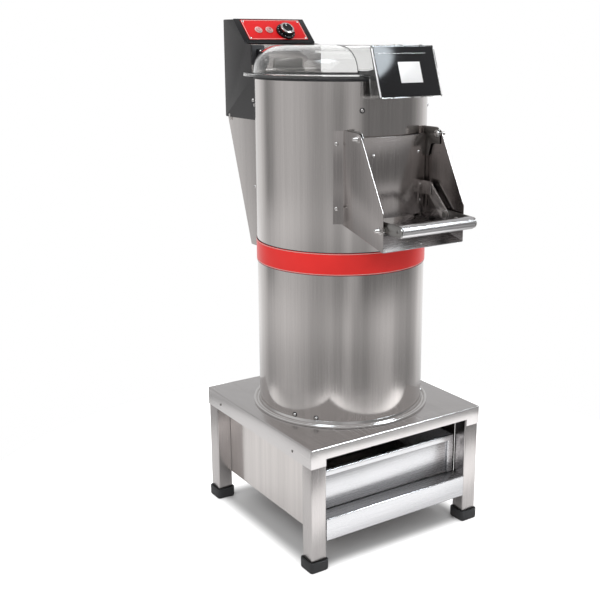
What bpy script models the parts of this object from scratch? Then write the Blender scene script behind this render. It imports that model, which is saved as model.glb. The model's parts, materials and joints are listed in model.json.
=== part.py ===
"""Electric potato peeler on its stand, in metres, +Z up.

The drum's axis is x = y = 0, the floor is z = 0 and the discharge chute points to -Y. The stand's catch basin holds
a filter drawer, the lower body holds the motor and belt, and the upper body is the peeling chamber with its spinning
disc, hinged lid and linkage-driven door.
"""

import math

import bmesh
import bpy
from mathutils import Matrix, Vector

# General sizes
FIT = 0.0003
SHEET = 0.0015
OVERRUN = 0.020
WELD_LAP = 0.0008
ROUND_STEPS = 44
SMALL_STEPS = 18
MEDIUM_STEPS = 24
PIN_STEPS = 10
RIB_STEPS = 6
ARC_STEPS = 4
MERGE = 0.00001
SMOOTH_ANGLE = math.radians(35)

# Stand
TABLE_MARGIN = 0.045
TABLE_HEIGHT = 0.300
TABLE_BEND = 0.003
APRON_DEPTH = 0.045
APRON_FRONT_DEPTH = 0.028
LEG_SIDE = 0.040
LEG_WALL = 0.0018
LEG_ROUND = 0.004
FOOT_SIDE = 0.050
FOOT_HEIGHT = 0.027
FOOT_POCKET = 0.019
FOOT_ROUND = 0.005

# Catch basin and filter drawer
BASIN_BOTTOM = 0.070
RAIL_TOP = 0.124
RAIL_LIP = 0.015
RUNNER_WIDTH = 0.016
DRAWER_GAP = 0.0045
DRAWER_HEIGHT = 0.0975
DRAWER_BACK_GAP = 0.0135
DRAWER_SHEET = 0.0012
DRAWER_RIM_TOP = 0.014
DRAWER_RIM_SIDE = 0.017
DRAWER_RIM_DEPTH = 0.004
DRAWER_FLOOR_RIM = 0.022
SCREEN_BRIDGE = 0.012
SCREEN_SLOT_WIDTH = 0.022
SCREEN_COLUMNS = 5
SCREEN_ROWS = 6
DRAIN_RADIUS = 0.025
DRAIN_WALL = 0.0025
DRAIN_FLANGE = 0.010
DRAIN_INSET = 0.0535
DRAIN_BOTTOM = 0.040

# Drum
DRUM_RADIUS = 0.200
DRUM_WALL = 0.0018
LOWER_SPACE = 0.420
CHAMBER_HEIGHT = 0.364
BAND_DROP = 0.061
BAND_HEIGHT = 0.050
BAND_THICK = 0.0015
BEAD_REACH = 0.015
BEAD_HEIGHT = 0.012
FLOOR_THICK = 0.0035
LINER_THICK = 0.005
LINER_DROP = 0.014
DISC_CLEARANCE = 0.008
WINDOW_WIDTH = 0.176
WINDOW_HEIGHT = 0.155
WINDOW_ROUND = 0.014

# Drive
DUCT_WIDTH = 0.090
DUCT_DEPTH = 0.075
DUCT_INSET = 0.025
DUCT_TAIL = 0.015
HOUSING_RADIUS = 0.034
HOUSING_FLANGE_RADIUS = 0.060
HOUSING_FLANGE_THICK = 0.008
HOUSING_DROP = 0.080
BEARING_RADIUS = 0.0257
BEARING_HEIGHT = 0.014
BEARING_DROP = 0.012
SHAFT_RADIUS = 0.0125
SHAFT_TAIL = 0.008
DISC_EDGE_GAP = 0.013
DISC_RISE = 0.069
DISC_THICK = 0.012
DISC_DISH = 0.004
DISC_DISH_SHARE = 0.85
DISC_HUB_RADIUS = 0.030
DISC_HUB_DROP = 0.044
DISC_HUB_BORE = 0.020
WAVE_COUNT = 3
WAVE_RADIUS = 0.018
WAVE_LENGTH = 0.140
WAVE_START = 0.034
WAVE_FLAT_SHARE = 0.5
PULLEY_DROP = 0.040
PULLEY_HEIGHT = 0.024
PULLEY_FLANGE = 0.006
PULLEY_EDGE = 0.004
SMALL_GROOVE_RADIUS = 0.024
PULLEY_GAP = 0.003
BELT_THICK = 0.005
BELT_GAP = 0.0006
MOTOR_WALL_GAP = 0.0152
MOTOR_RADIUS = 0.062
MOTOR_LENGTH = 0.200
MOTOR_FLANGE_RADIUS = 0.068
MOTOR_FLANGE_THICK = 0.010
MOTOR_CAP_RADIUS = 0.050
MOTOR_CAP_LENGTH = 0.030
MOTOR_BOX_WIDTH = 0.060
MOTOR_BOX_REACH = 0.078
MOTOR_BOX_HEIGHT = 0.070
ROTOR_RADIUS = 0.009
DRIVE_PLATE_DROP = 0.021
DRIVE_PLATE_THICK = 0.004

# Discharge chute
CHUTE_HALF_WIDTH = 0.110
CHUTE_HEIGHT = 0.2435
CHUTE_TOP_DROP = 0.004
CHUTE_TOP_REACH = 0.0305
CHUTE_REACH = 0.114
CHUTE_FRONT_HEIGHT = 0.082
CHUTE_LIP_RISE = 0.016
CHUTE_HEEL_REACH = 0.016
CHUTE_FALL = 0.0335
CHUTE_ROOT_DEPTH = 0.008
CHUTE_FLANGE_RISE = 0.039
CHUTE_FLANGE_HEIGHT = 0.203
CHUTE_FLANGE_TURN = math.radians(6.5)
CHUTE_ROUND = 0.010
CHUTE_CORNER = 0.002
STUD_HEAD_RADIUS = 0.0085
STUD_HEAD_THICK = 0.004
STUD_TAIL = 0.008

# Door and its linkage
DOOR_STANDOFF = 0.012
DOOR_LAP_UNDER = 0.010
DOOR_LAP_OVER = 0.012
DOOR_HALF_WIDTH = 0.1038
DOOR_STEPS = 12
DOOR_PIVOT_REACH = 0.024
DOOR_PIVOT_RISE = 0.001
LUG_INNER = 0.1030
LUG_THICK = 0.0025
LUG_TOP_RISE = 0.015
LUG_FRONT_REACH = 0.008
LUG_BACK_LAP = 0.0075
LUG_TAIL_DROP = 0.050
LUG_KNEE_DROP = 0.022
LUG_TAIL_WIDTH = 0.009
LUG_ROUND = 0.003
EAR_OUTER = 0.0935
EAR_THICK = 0.003
EAR_RISE = 0.015
EAR_REACH = 0.011
EAR_ROOT_DEPTH = 0.006
SEAL_WIDTH = 0.006
HANDLE_PIVOT_REACH = 0.104
HANDLE_PIVOT_RISE = 0.047
LINK_PIVOT_REACH = 0.068
LINK_PIVOT_RISE = 0.054
EAR_PIVOT_REACH = 0.011
EAR_PIVOT_RISE = 0.109
PIVOT_RADIUS = 0.004
PIVOT_PLAY = 0.0006
PIVOT_HEAD_RADIUS = 0.007
PIVOT_HEAD_THICK = 0.002
LINK_OUTER = 0.0975
LINK_THICK = 0.003
LINK_HALF_WIDTH = 0.0125
LINK_SLOT_RUN = 0.0044
ARM_OUTER = 0.1015
ARM_THICK = 0.003
ARM_HALF_HEIGHT = 0.012
BAR_REACH = 0.1542
BAR_RISE = 0.0505
BAR_RADIUS = 0.014
BAR_ROUND = 0.002

# Lid
LID_WALL = 0.003
DOME_HEIGHT = 0.060
LID_FLANGE_RISE = 0.011
LID_FLANGE_REACH = 0.025
LID_LIP_DROP = 0.008
DOME_FOOT_REACH = 0.003
DOME_SHOULDER = 0.065
DOME_STEPS = 6
DOME_POWER = 2.2
HOOD_HALF_WIDTH = 0.084
HOOD_TOP_REACH = 0.028
HOOD_BOTTOM_REACH = 0.0647
HOOD_DROP = 0.046
HOOD_SKIRT_DEPTH = 0.039
FRONT_PLATE_HALF_WIDTH = 0.0789
FRONT_PLATE_THICK = 0.003
FRONT_PLATE_START = 0.006
FRONT_PLATE_HEIGHT = 0.1035
GASKET_INSIDE = 0.0065
GASKET_OUTSIDE = 0.0035
GASKET_LAP = 0.008
HINGE_REACH = 0.032
HINGE_RISE = 0.009
HINGE_KNUCKLE_RADIUS = 0.007
HINGE_PIN_RADIUS = 0.004
HINGE_MIDDLE = 0.043
HINGE_END = 0.075
HINGE_LEAF_LAP = 0.010
HINGE_LEAF_THICK = 0.003
HINGE_PLATE_HEIGHT = 0.032
SWITCH_LEFT = 0.088
SWITCH_WIDTH = 0.022
SWITCH_DEPTH = 0.0155
SWITCH_RISE = 0.014
SWITCH_HEIGHT = 0.026

# Control box, its sloping panel and the rear cover
BOX_HALF_WIDTH = 0.102
BOX_BACK_REACH = 0.180
BOX_DROP = 0.110
BOX_FRONT_REACH = 0.040
BOX_STEP_DROP = 0.0085
BOX_BROW_RISE = 0.0705
BOX_WALL = 0.0015
PANEL_TOP_REACH = 0.126
PANEL_TOP_RISE = 0.133
PANEL_SLOPE = math.radians(44.4)
PANEL_LENGTH = 0.082
PANEL_THICK = 0.002
FACE_HALF_WIDTH = 0.0856
FACE_MARGIN = 0.005
FACE_LENGTH = 0.068
FACE_THICK = 0.001
KNOB_X = 0.028
KNOB_DOWN = 0.043
KNOB_SKIRT_RADIUS = 0.025
KNOB_SKIRT_HEIGHT = 0.006
KNOB_CAP_RADIUS = 0.0175
KNOB_CAP_FOOT_RADIUS = 0.019
KNOB_HEIGHT = 0.022
KNOB_EDGE = 0.0015
KNOB_RIBS = 12
KNOB_RIB_RADIUS = 0.0014
START_X = -0.048
STOP_X = -0.017
BUTTON_DOWN = 0.0365
BUTTON_RADIUS = 0.0078
BUTTON_HEIGHT = 0.0055
BUTTON_STEM = 0.010
BUTTON_EDGE = 0.001
BUTTON_TRAVEL = 0.0025
BEZEL_RADIUS = 0.0098
BEZEL_HEIGHT = 0.0025
COVER_HALF_WIDTH = 0.1005
COVER_TOP_REACH = 0.170
COVER_BOTTOM_REACH = 0.060
COVER_TAIL = 0.002
GLAND_X = -0.045
GLAND_REACH = 0.028
GLAND_RADIUS = 0.012
GLAND_NECK_RADIUS = 0.008
GLAND_BORE_RADIUS = 0.0045
GLAND_LENGTH = 0.027
GLAND_NUT_HEIGHT = 0.009
GLAND_NECK_RISE = 0.010
PIPE_X = 0.050
PIPE_REACH = 0.028
PIPE_RADIUS = 0.010
PIPE_BORE_RADIUS = 0.0075
PIPE_BEND_RADIUS = 0.030
PIPE_HOLE_GAP = 0.0007
PIPE_TAIL = 0.029
PIPE_DROP = 0.049
PIPE_INSIDE = 0.032

# Sizes that follow from the ones above
HALF_TABLE = DRUM_RADIUS + TABLE_MARGIN
TABLE_SIDE = 2 * HALF_TABLE
LEG_FACE = HALF_TABLE - SHEET - FIT
LEG_CENTRE = LEG_FACE - LEG_SIDE / 2
LEG_INSIDE = LEG_FACE - LEG_SIDE
BETWEEN_LEGS = LEG_INSIDE - FIT
PANEL_FACE = HALF_TABLE - LEG_SIDE
UNDER_TABLE = TABLE_HEIGHT - SHEET - FIT
PANEL_INSIDE = PANEL_FACE - SHEET
DRAWER_BOTTOM = RAIL_TOP + FIT
DRAWER_HALF_WIDTH = PANEL_INSIDE - DRAWER_GAP
DRAWER_FRONT = PANEL_FACE
DRAWER_TOP = DRAWER_BOTTOM + DRAWER_HEIGHT
DRAWER_BACK = PANEL_INSIDE - DRAWER_BACK_GAP
DRAIN_BACK = PANEL_INSIDE - DRAIN_INSET
DRUM_INSIDE = DRUM_RADIUS - DRUM_WALL
DRUM_OUTSIDE = DRUM_RADIUS + FIT
FLOOR_LEVEL = TABLE_HEIGHT + LOWER_SPACE
DRUM_TOP = FLOOR_LEVEL + CHAMBER_HEIGHT
BAND_BOTTOM = FLOOR_LEVEL - BAND_DROP
SEAM_LEVEL = BAND_BOTTOM + BAND_HEIGHT / 2
DISC_RADIUS = DRUM_RADIUS - DISC_EDGE_GAP
DISC_TOP = FLOOR_LEVEL + DISC_RISE
LINER_BOTTOM = DISC_TOP + DISC_CLEARANCE
LINER_TOP = DRUM_TOP - LINER_DROP
WINDOW_BOTTOM = LINER_BOTTOM
DUCT_FRONT = DRUM_RADIUS - DUCT_INSET
DUCT_BOTTOM = TABLE_HEIGHT - DUCT_TAIL
HOUSING_BOTTOM = FLOOR_LEVEL - HOUSING_DROP
PULLEY_BOTTOM = HOUSING_BOTTOM - PULLEY_DROP
SHAFT_BOTTOM = PULLEY_BOTTOM - SHAFT_TAIL
DRIVE_PLATE_TOP = PULLEY_BOTTOM - DRIVE_PLATE_DROP
MOTOR_OFFSET = DRUM_INSIDE - MOTOR_FLANGE_RADIUS - MOTOR_WALL_GAP
BIG_GROOVE_RADIUS = MOTOR_OFFSET - SMALL_GROOVE_RADIUS - 2 * PULLEY_FLANGE - PULLEY_GAP
CHUTE_INSIDE = CHUTE_HALF_WIDTH - SHEET
CHUTE_CHORD = math.sqrt(DRUM_RADIUS**2 - CHUTE_INSIDE**2)
CHUTE_LIP = FLOOR_LEVEL + CHUTE_LIP_RISE
CHUTE_HEEL = CHUTE_LIP + CHUTE_FALL
CHUTE_TOP = CHUTE_LIP + CHUTE_HEIGHT
CHUTE_FRONT = DRUM_RADIUS + CHUTE_REACH
CHUTE_FRONT_TOP = CHUTE_LIP + CHUTE_FRONT_HEIGHT
CHUTE_ROOT = CHUTE_CHORD - CHUTE_ROOT_DEPTH
CHUTE_FLANGE_BOTTOM = CHUTE_LIP + CHUTE_FLANGE_RISE
CHUTE_FLANGE_TOP = CHUTE_FLANGE_BOTTOM + CHUTE_FLANGE_HEIGHT
DOOR_BOTTOM = WINDOW_BOTTOM - DOOR_LAP_UNDER
DOOR_TOP = WINDOW_BOTTOM + WINDOW_HEIGHT + DOOR_LAP_OVER
DOOR_INNER_RADIUS = DRUM_RADIUS + DOOR_STANDOFF
DOOR_OUTER_RADIUS = DOOR_INNER_RADIUS + SHEET
DOOR_HALF_TURN = math.asin(DOOR_HALF_WIDTH / DOOR_OUTER_RADIUS)
DOOR_PIVOT = (-DRUM_RADIUS - DOOR_PIVOT_REACH, DOOR_TOP + DOOR_PIVOT_RISE)
LUG_EDGE = SHEET - math.sqrt(DOOR_OUTER_RADIUS**2 - LUG_INNER**2)
EAR_ROOT = math.sqrt(DOOR_OUTER_RADIUS**2 - EAR_OUTER**2) - EAR_ROOT_DEPTH
HANDLE_PIVOT = (-DRUM_RADIUS - HANDLE_PIVOT_REACH, CHUTE_LIP + HANDLE_PIVOT_RISE)
LINK_PIVOT = (-DRUM_RADIUS - LINK_PIVOT_REACH, CHUTE_LIP + LINK_PIVOT_RISE)
EAR_PIVOT = (-DRUM_RADIUS - EAR_PIVOT_REACH, CHUTE_LIP + EAR_PIVOT_RISE)
BAR_CENTRE = (-DRUM_RADIUS - BAR_REACH, CHUTE_LIP + BAR_RISE)
LINK_INNER = LINK_OUTER - LINK_THICK
ARM_INNER = ARM_OUTER - ARM_THICK
LID_FLANGE_TOP = DRUM_TOP + LID_FLANGE_RISE
LID_FLANGE_RADIUS = DRUM_RADIUS + LID_FLANGE_REACH
LID_TOP = LID_FLANGE_TOP + DOME_HEIGHT
DOME_FOOT_RADIUS = DRUM_RADIUS + DOME_FOOT_REACH
DOME_FLAT_RADIUS = DRUM_RADIUS - DOME_SHOULDER
HOOD_TOP_FRONT = (-DRUM_RADIUS - HOOD_TOP_REACH, LID_TOP)
HOOD_BOTTOM_FRONT = (-DRUM_RADIUS - HOOD_BOTTOM_REACH, LID_FLANGE_TOP - HOOD_DROP)
HOOD_LENGTH = math.dist(HOOD_TOP_FRONT, HOOD_BOTTOM_FRONT)
HOOD_RAKE = math.atan2(HOOD_TOP_FRONT[0] - HOOD_BOTTOM_FRONT[0], HOOD_TOP_FRONT[1] - HOOD_BOTTOM_FRONT[1])
GASKET_INNER_RADIUS = DRUM_RADIUS - GASKET_INSIDE
GASKET_OUTER_RADIUS = DRUM_RADIUS + GASKET_OUTSIDE
GASKET_BOTTOM = DRUM_TOP - GASKET_LAP
HINGE_BACK = DRUM_RADIUS + HINGE_REACH
HINGE_LEVEL = LID_FLANGE_TOP + HINGE_RISE
HINGE_LEAF_FRONT = DRUM_RADIUS - HINGE_LEAF_LAP
SWITCH_BOTTOM = HINGE_LEVEL + SWITCH_RISE
BOX_BACK = DRUM_RADIUS + BOX_BACK_REACH
BOX_FRONT = DRUM_RADIUS + BOX_FRONT_REACH
BOX_BOTTOM = DRUM_TOP - BOX_DROP
BOX_STEP = DRUM_TOP - BOX_STEP_DROP
BOX_BROW = DRUM_TOP + BOX_BROW_RISE
PANEL_TOP_EDGE = (DRUM_RADIUS + PANEL_TOP_REACH, DRUM_TOP + PANEL_TOP_RISE)
COVER_BACK_TOP = DRUM_RADIUS + COVER_TOP_REACH
COVER_BACK_BOTTOM = DRUM_RADIUS + COVER_BOTTOM_REACH
COVER_BOTTOM = BAND_BOTTOM - COVER_TAIL
GLAND_Y = DRUM_RADIUS + GLAND_REACH
PIPE_Y = DRUM_RADIUS + PIPE_REACH
PIPE_BOTTOM = COVER_BOTTOM - PIPE_TAIL
PIPE_LEVEL = DRUM_TOP - PIPE_DROP
PIPE_END = DRUM_RADIUS - PIPE_INSIDE
BELT_INNER_GAP = BELT_GAP / 2
COVER_TOP = BOX_BOTTOM - FIT

# Turns that lay a drawing in the YZ plane (its plate grows along X) and in the XZ plane (along -Y)
SIDE_ON = (math.radians(90), 0, math.radians(90))
FRONT_ON = (math.radians(90), 0, 0)
ALONG_X = (0, math.radians(90), 0)
ALONG_Y = (math.radians(-90), 0, 0)
FLAT = (0, 0, 0)


def clear_scene():
    for obj in list(bpy.data.objects):
        bpy.data.objects.remove(obj)


def new_collection(name):
    found = bpy.data.collections.new(name)
    bpy.context.scene.collection.children.link(found)
    return found


clear_scene()
PARTS = new_collection("potato_peeler")
CUTTERS = new_collection("cutters")


def finish_of(name, colour, roughness, metallic=0.0, alpha=1.0):
    """A Principled material."""
    material = bpy.data.materials.new(name)
    material.use_nodes = True
    shader = material.node_tree.nodes["Principled BSDF"]
    shader.inputs["Base Color"].default_value = (*colour, 1)
    shader.inputs["Roughness"].default_value = roughness
    shader.inputs["Metallic"].default_value = metallic
    shader.inputs["Alpha"].default_value = alpha
    material.diffuse_color = (*colour, alpha)
    return material


BRUSHED = finish_of("brushed_stainless", (0.62, 0.60, 0.58), 0.32, 1.0)
SHEET_STEEL = finish_of("sheet_stainless", (0.70, 0.69, 0.68), 0.38, 1.0)
BRIGHT = finish_of("bright_steel", (0.78, 0.78, 0.78), 0.18, 1.0)
CAST = finish_of("cast_aluminium", (0.55, 0.55, 0.54), 0.55, 1.0)
GRIT = finish_of("abrasive_grit", (0.10, 0.09, 0.08), 0.95)
BLACK_RUBBER = finish_of("black_rubber", (0.025, 0.027, 0.028), 0.75)
DARK_PAINT = finish_of("anthracite_paint", (0.062, 0.060, 0.062), 0.45)
BLACK_PANEL = finish_of("black_panel", (0.012, 0.012, 0.013), 0.25)
RED_FILM = finish_of("red_film", (0.72, 0.025, 0.030), 0.35)
CLEAR = finish_of("clear_plastic", (0.85, 0.88, 0.90), 0.05, 0.0, 0.35)
PALE_PLASTIC = finish_of("pale_plastic", (0.75, 0.72, 0.70), 0.40)
MOTOR_PAINT = finish_of("motor_paint", (0.10, 0.13, 0.16), 0.50)


def place(obj, finish, at, turn=FLAT, joint=None):
    """Puts a new object in the part's collection, hung on its joint's empty where it has one."""
    PARTS.objects.link(obj)
    obj.data.materials.append(finish)
    obj.rotation_euler = turn
    obj.location = Vector(at)
    if joint:
        obj.parent = joint
        obj.location -= joint.location
    return obj


def as_cutter(obj):
    """Moves a shape to the cutters' collection, where it is only a helper."""
    for collection in list(obj.users_collection):
        collection.objects.unlink(obj)
    CUTTERS.objects.link(obj)
    obj.hide_render = True
    obj.display_type = "WIRE"
    return obj


def combine(obj, other, operation):
    modifier = obj.modifiers.new(f"{operation.lower()} {other.name}", "BOOLEAN")
    modifier.operation = operation
    modifier.object = as_cutter(other)
    return obj


def cut(obj, *cutters):
    for cutter in cutters:
        combine(obj, cutter, "DIFFERENCE")
    return obj


def unite(obj, *others):
    for other in others:
        combine(obj, other, "UNION")
    return obj


def joint_at(name, at, turn=FLAT):
    """An empty on a joint's axis, which the moving pieces hang on."""
    empty = bpy.data.objects.new(name, None)
    PARTS.objects.link(empty)
    empty.empty_display_size = BAR_RADIUS
    empty.location = at
    empty.rotation_euler = turn
    return empty


def block(name, low, high, finish=SHEET_STEEL, joint=None, rounding=0, upright=False, at=None, turn=FLAT):
    """A cuboid between two corners, with all its edges rounded, or its upright ones alone."""
    low, high = Vector(low), Vector(high)
    centre = (low + high) / 2
    origin = centre if at is None else Vector(at)
    bm = bmesh.new()
    bmesh.ops.create_cube(bm, size=1)
    bmesh.ops.scale(bm, vec=high - low, verts=bm.verts)
    bmesh.ops.translate(bm, vec=centre - origin, verts=bm.verts)
    if rounding:
        edges = [e for e in bm.edges if not upright or is_upright(e)]
        bmesh.ops.bevel(bm, geom=edges, offset=rounding, segments=2, profile=0.5, affect="EDGES")
    return place(mesh_object(name, bm), finish, origin, turn, joint)


def is_upright(edge):
    first, second = (v.co for v in edge.verts)
    return first.xy == second.xy


def mesh_object(name, bm):
    mesh = bpy.data.meshes.new(name)
    bm.to_mesh(mesh)
    bm.free()
    return bpy.data.objects.new(name, mesh)


def turned(name, profile, finish=SHEET_STEEL, at=(0, 0, 0), turn=FLAT, steps=ROUND_STEPS, joint=None):
    """A profile of (radius, height) points turned about its own Z, closed unless it starts and ends on the axis."""
    closed = profile[0][0] > 0 or profile[-1][0] > 0
    bm = bmesh.new()
    points = [bm.verts.new((radius, 0, height)) for radius, height in profile]
    for first, second in zip(points, points[1:] + points[:1] if closed else points[1:]):
        bm.edges.new((first, second))
    obj = place(mesh_object(name, bm), finish, at, turn, joint)
    screw = obj.modifiers.new("turn", "SCREW")
    screw.steps = screw.render_steps = steps
    screw.use_merge_vertices = True
    screw.merge_threshold = MERGE
    return obj


def ring(name, outer, inner, bottom, top, finish=SHEET_STEEL, **rest):
    """A plain ring of rectangular section."""
    profile = [(outer, top), (outer, bottom), (inner, bottom), (inner, top)]
    return turned(name, profile, finish, **rest)


def rod(name, radius, start, end, finish=SHEET_STEEL, steps=PIN_STEPS, **rest):
    """A plain round bar along its own Z."""
    profile = [(0, end), (radius, end), (radius, start), (0, start)]
    return turned(name, profile, finish, steps=steps, **rest)


def round_points(centre, radius, count=PIN_STEPS):
    """A full circle of outline points."""
    turns = [2 * math.pi * i / count for i in range(count)]
    return [(centre[0] + radius * math.cos(t), centre[1] + radius * math.sin(t)) for t in turns]


def capsule_points(start, end, radius, count=PIN_STEPS // 2):
    """The outline round two circles of one radius."""
    heading = math.atan2(end[1] - start[1], end[0] - start[0])
    points = []
    for centre, opening in ((end, heading - math.pi / 2), (start, heading + math.pi / 2)):
        for i in range(count + 1):
            turn = opening + math.pi * i / count
            points.append((centre[0] + radius * math.cos(turn), centre[1] + radius * math.sin(turn)))
    return points


def filleted(corners, count=ARC_STEPS):
    """An outline whose corners (y, z, radius) are rounded by arcs."""
    points = []
    for i, (x, y, radius) in enumerate(corners):
        here = Vector((x, y))
        before = (Vector(corners[i - 1][:2]) - here).normalized()
        after = (Vector(corners[(i + 1) % len(corners)][:2]) - here).normalized()
        if not radius:
            points.append(tuple(here))
            continue
        half = before.angle(after) / 2
        centre = here + (before + after).normalized() * radius / math.sin(half)
        start = here + before * radius / math.tan(half) - centre
        end = here + after * radius / math.tan(half) - centre
        sweep = start.angle_signed(end)
        for step in range(count + 1):
            spoke = start.copy()
            spoke.rotate(Matrix.Rotation(-sweep * step / count, 2))
            points.append(tuple(centre + spoke))
    return points


def fill_outline(name, outlines, thickness):
    """A flat sheet between outlines in its own XY plane, the first outside and the others holes, as a mesh."""
    curve = bpy.data.curves.new(name, "CURVE")
    curve.dimensions = "2D"
    curve.fill_mode = "BOTH"
    curve.extrude = thickness / 2
    for outline in outlines:
        spline = curve.splines.new("POLY")
        spline.points.add(len(outline) - 1)
        for point, (x, y) in zip(spline.points, outline):
            point.co = (x, y, 0, 1)
        spline.use_cyclic_u = True
    return curve_to_mesh(name, curve)


def curve_to_mesh(name, curve):
    """Turns a curve into a welded mesh object of the same name."""
    draft = bpy.data.objects.new(f"{name}_curve", curve)
    PARTS.objects.link(draft)
    graph = bpy.context.evaluated_depsgraph_get()
    mesh = bpy.data.meshes.new_from_object(draft.evaluated_get(graph))
    bpy.data.objects.remove(draft)
    bm = bmesh.new()
    bm.from_mesh(mesh)
    bmesh.ops.remove_doubles(bm, verts=bm.verts, dist=MERGE)
    bmesh.ops.recalc_face_normals(bm, faces=bm.faces)
    bm.to_mesh(mesh)
    bm.free()
    mesh.name = name
    return bpy.data.objects.new(name, mesh)


def plate(name, outlines, thickness, finish=SHEET_STEEL, at=(0, 0, 0), turn=SIDE_ON, joint=None):
    """A plate cut to outlines, centred on the plane through its origin."""
    return place(fill_outline(name, outlines, thickness), finish, at, turn, joint)


def side_plate(name, outlines, inner, outer, hand, finish=SHEET_STEEL, joint=None, pivot=(0, 0)):
    """A plate in the YZ plane between two distances from the middle, on the right (hand 1) or left (-1)."""
    moved = [[(y - pivot[0], z - pivot[1]) for y, z in outline] for outline in outlines]
    at = (hand * (inner + outer) / 2, *pivot)
    return plate(name, moved, outer - inner, finish, at, SIDE_ON, joint)


def arc_sheet(name, inner, outer, bottom, top, start, end, finish=SHEET_STEEL, joint=None, steps=ARC_STEPS):
    """A curved sheet round the drum's axis between two angles, cut from its plan."""
    turns = [start + (end - start) * i / steps for i in range(steps + 1)]
    outline = [(outer * math.cos(t), outer * math.sin(t)) for t in turns]
    outline += [(inner * math.cos(t), inner * math.sin(t)) for t in reversed(turns)]
    at = joint.location.copy() if joint else Vector((0, 0, (bottom + top) / 2))
    obj = plate(name, [outline], top - bottom, finish, at, FLAT, joint)
    obj.data.transform(Matrix.Translation(Vector((0, 0, (bottom + top) / 2)) - at))
    return obj


def stepped_pin(name, steps, hand, centre):
    """A pin along X whose steps (radius, from, to) run outwards from the middle, on the right (hand 1) or left (-1)."""
    points = [(0, steps[0][1])]
    for radius, inner, outer in steps:
        points += [(radius, inner), (radius, outer)]
    points.append((0, steps[-1][2]))
    profile = [(radius, hand * along) for radius, along in points]
    if hand > 0:
        profile.reverse()
    return turned(name, profile, at=(0, *centre), turn=ALONG_X, steps=PIN_STEPS)


def folded(name, line, half_width, thickness, finish=SHEET_STEEL, flip=False):
    """A strip of sheet folded along a (y, z) line, as wide as the gap between two sides."""
    bm = bmesh.new()
    rows = [[bm.verts.new((x, y, z)) for y, z in line] for x in (-half_width, half_width)]
    for i in range(len(line) - 1):
        corners = (rows[0][i], rows[1][i], rows[1][i + 1], rows[0][i + 1])
        bm.faces.new(corners[::-1] if flip else corners)
    obj = place(mesh_object(name, bm), finish, (0, 0, 0))
    solidify = obj.modifiers.new("thickness", "SOLIDIFY")
    solidify.thickness = thickness
    solidify.use_even_offset = True
    return obj


def tube_shell(name, low, high, wall, finish, rounding=0):
    """A square tube that is open at its top and bottom."""
    low, high = Vector(low), Vector(high)
    body = block(name, low, high, finish, rounding=rounding, upright=True)
    inset = Vector((wall, wall, -OVERRUN))
    inner_round = max(rounding - wall, 0)
    return cut(body, block(f"{name}_bore", low + inset, high - inset, rounding=inner_round, upright=True))


def drum_cutter(name, radius, bottom, top):
    return rod(name, radius, bottom, top, steps=ROUND_STEPS)


def make_table():
    """The top, folded down to an apron that is cut back between the front legs."""
    bm = bmesh.new()
    bmesh.ops.create_cube(bm, size=1)
    bmesh.ops.scale(bm, vec=(TABLE_SIDE, TABLE_SIDE, APRON_DEPTH), verts=bm.verts)
    bmesh.ops.translate(bm, vec=(0, 0, -APRON_DEPTH / 2), verts=bm.verts)
    floor = [f for f in bm.faces if f.normal.z < 0 and abs(f.normal.x) + abs(f.normal.y) == 0]
    bmesh.ops.delete(bm, geom=floor, context="FACES_ONLY")
    top = max(v.co.z for v in bm.verts)
    upper = [e for e in bm.edges if all(v.co.z == top for v in e.verts)]
    bmesh.ops.bevel(bm, geom=upper, offset=TABLE_BEND, segments=3, profile=0.5, affect="EDGES")
    table = place(mesh_object("table_top", bm), BRUSHED, (0, 0, TABLE_HEIGHT))
    solidify = table.modifiers.new("thickness", "SOLIDIFY")
    solidify.thickness = SHEET
    solidify.use_even_offset = True
    notch = block(
        "apron_notch",
        (-PANEL_FACE, -HALF_TABLE - OVERRUN, TABLE_HEIGHT - APRON_DEPTH - OVERRUN),
        (PANEL_FACE, -PANEL_FACE, TABLE_HEIGHT - APRON_FRONT_DEPTH),
    )
    hole = block(
        "duct_hole",
        (-DUCT_WIDTH / 2 - FIT, -DUCT_FRONT - FIT, TABLE_HEIGHT - OVERRUN),
        (DUCT_WIDTH / 2 + FIT, DUCT_DEPTH - DUCT_FRONT + FIT, TABLE_HEIGHT + OVERRUN),
    )
    cut(table, notch, hole)


def make_legs():
    """Four square tubes, each standing in the pocket of its rubber foot."""
    for end, side_y in (("front", -1), ("rear", 1)):
        for hand, side_x in (("left", -1), ("right", 1)):
            x, y = side_x * LEG_CENTRE, side_y * LEG_CENTRE
            half = LEG_SIDE / 2
            low = (x - half, y - half, FOOT_HEIGHT - FOOT_POCKET + FIT)
            high = (x + half, y + half, TABLE_HEIGHT - TABLE_BEND - FIT)
            tube_shell(f"leg_{end}_{hand}", low, high, LEG_WALL, SHEET_STEEL, LEG_ROUND)
            make_foot(f"foot_{end}_{hand}", x, y)


def make_foot(name, x, y):
    half, pocket = FOOT_SIDE / 2, LEG_SIDE / 2 + FIT
    low, high = (x - half, y - half, 0), (x + half, y + half, FOOT_HEIGHT)
    foot = block(name, low, high, BLACK_RUBBER, rounding=FOOT_ROUND)
    floor = FOOT_HEIGHT - FOOT_POCKET
    cut(
        foot,
        block(
            f"{name}_pocket",
            (x - pocket, y - pocket, floor),
            (x + pocket, y + pocket, FOOT_HEIGHT + OVERRUN),
            rounding=LEG_ROUND,
            upright=True,
        ),
    )


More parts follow.
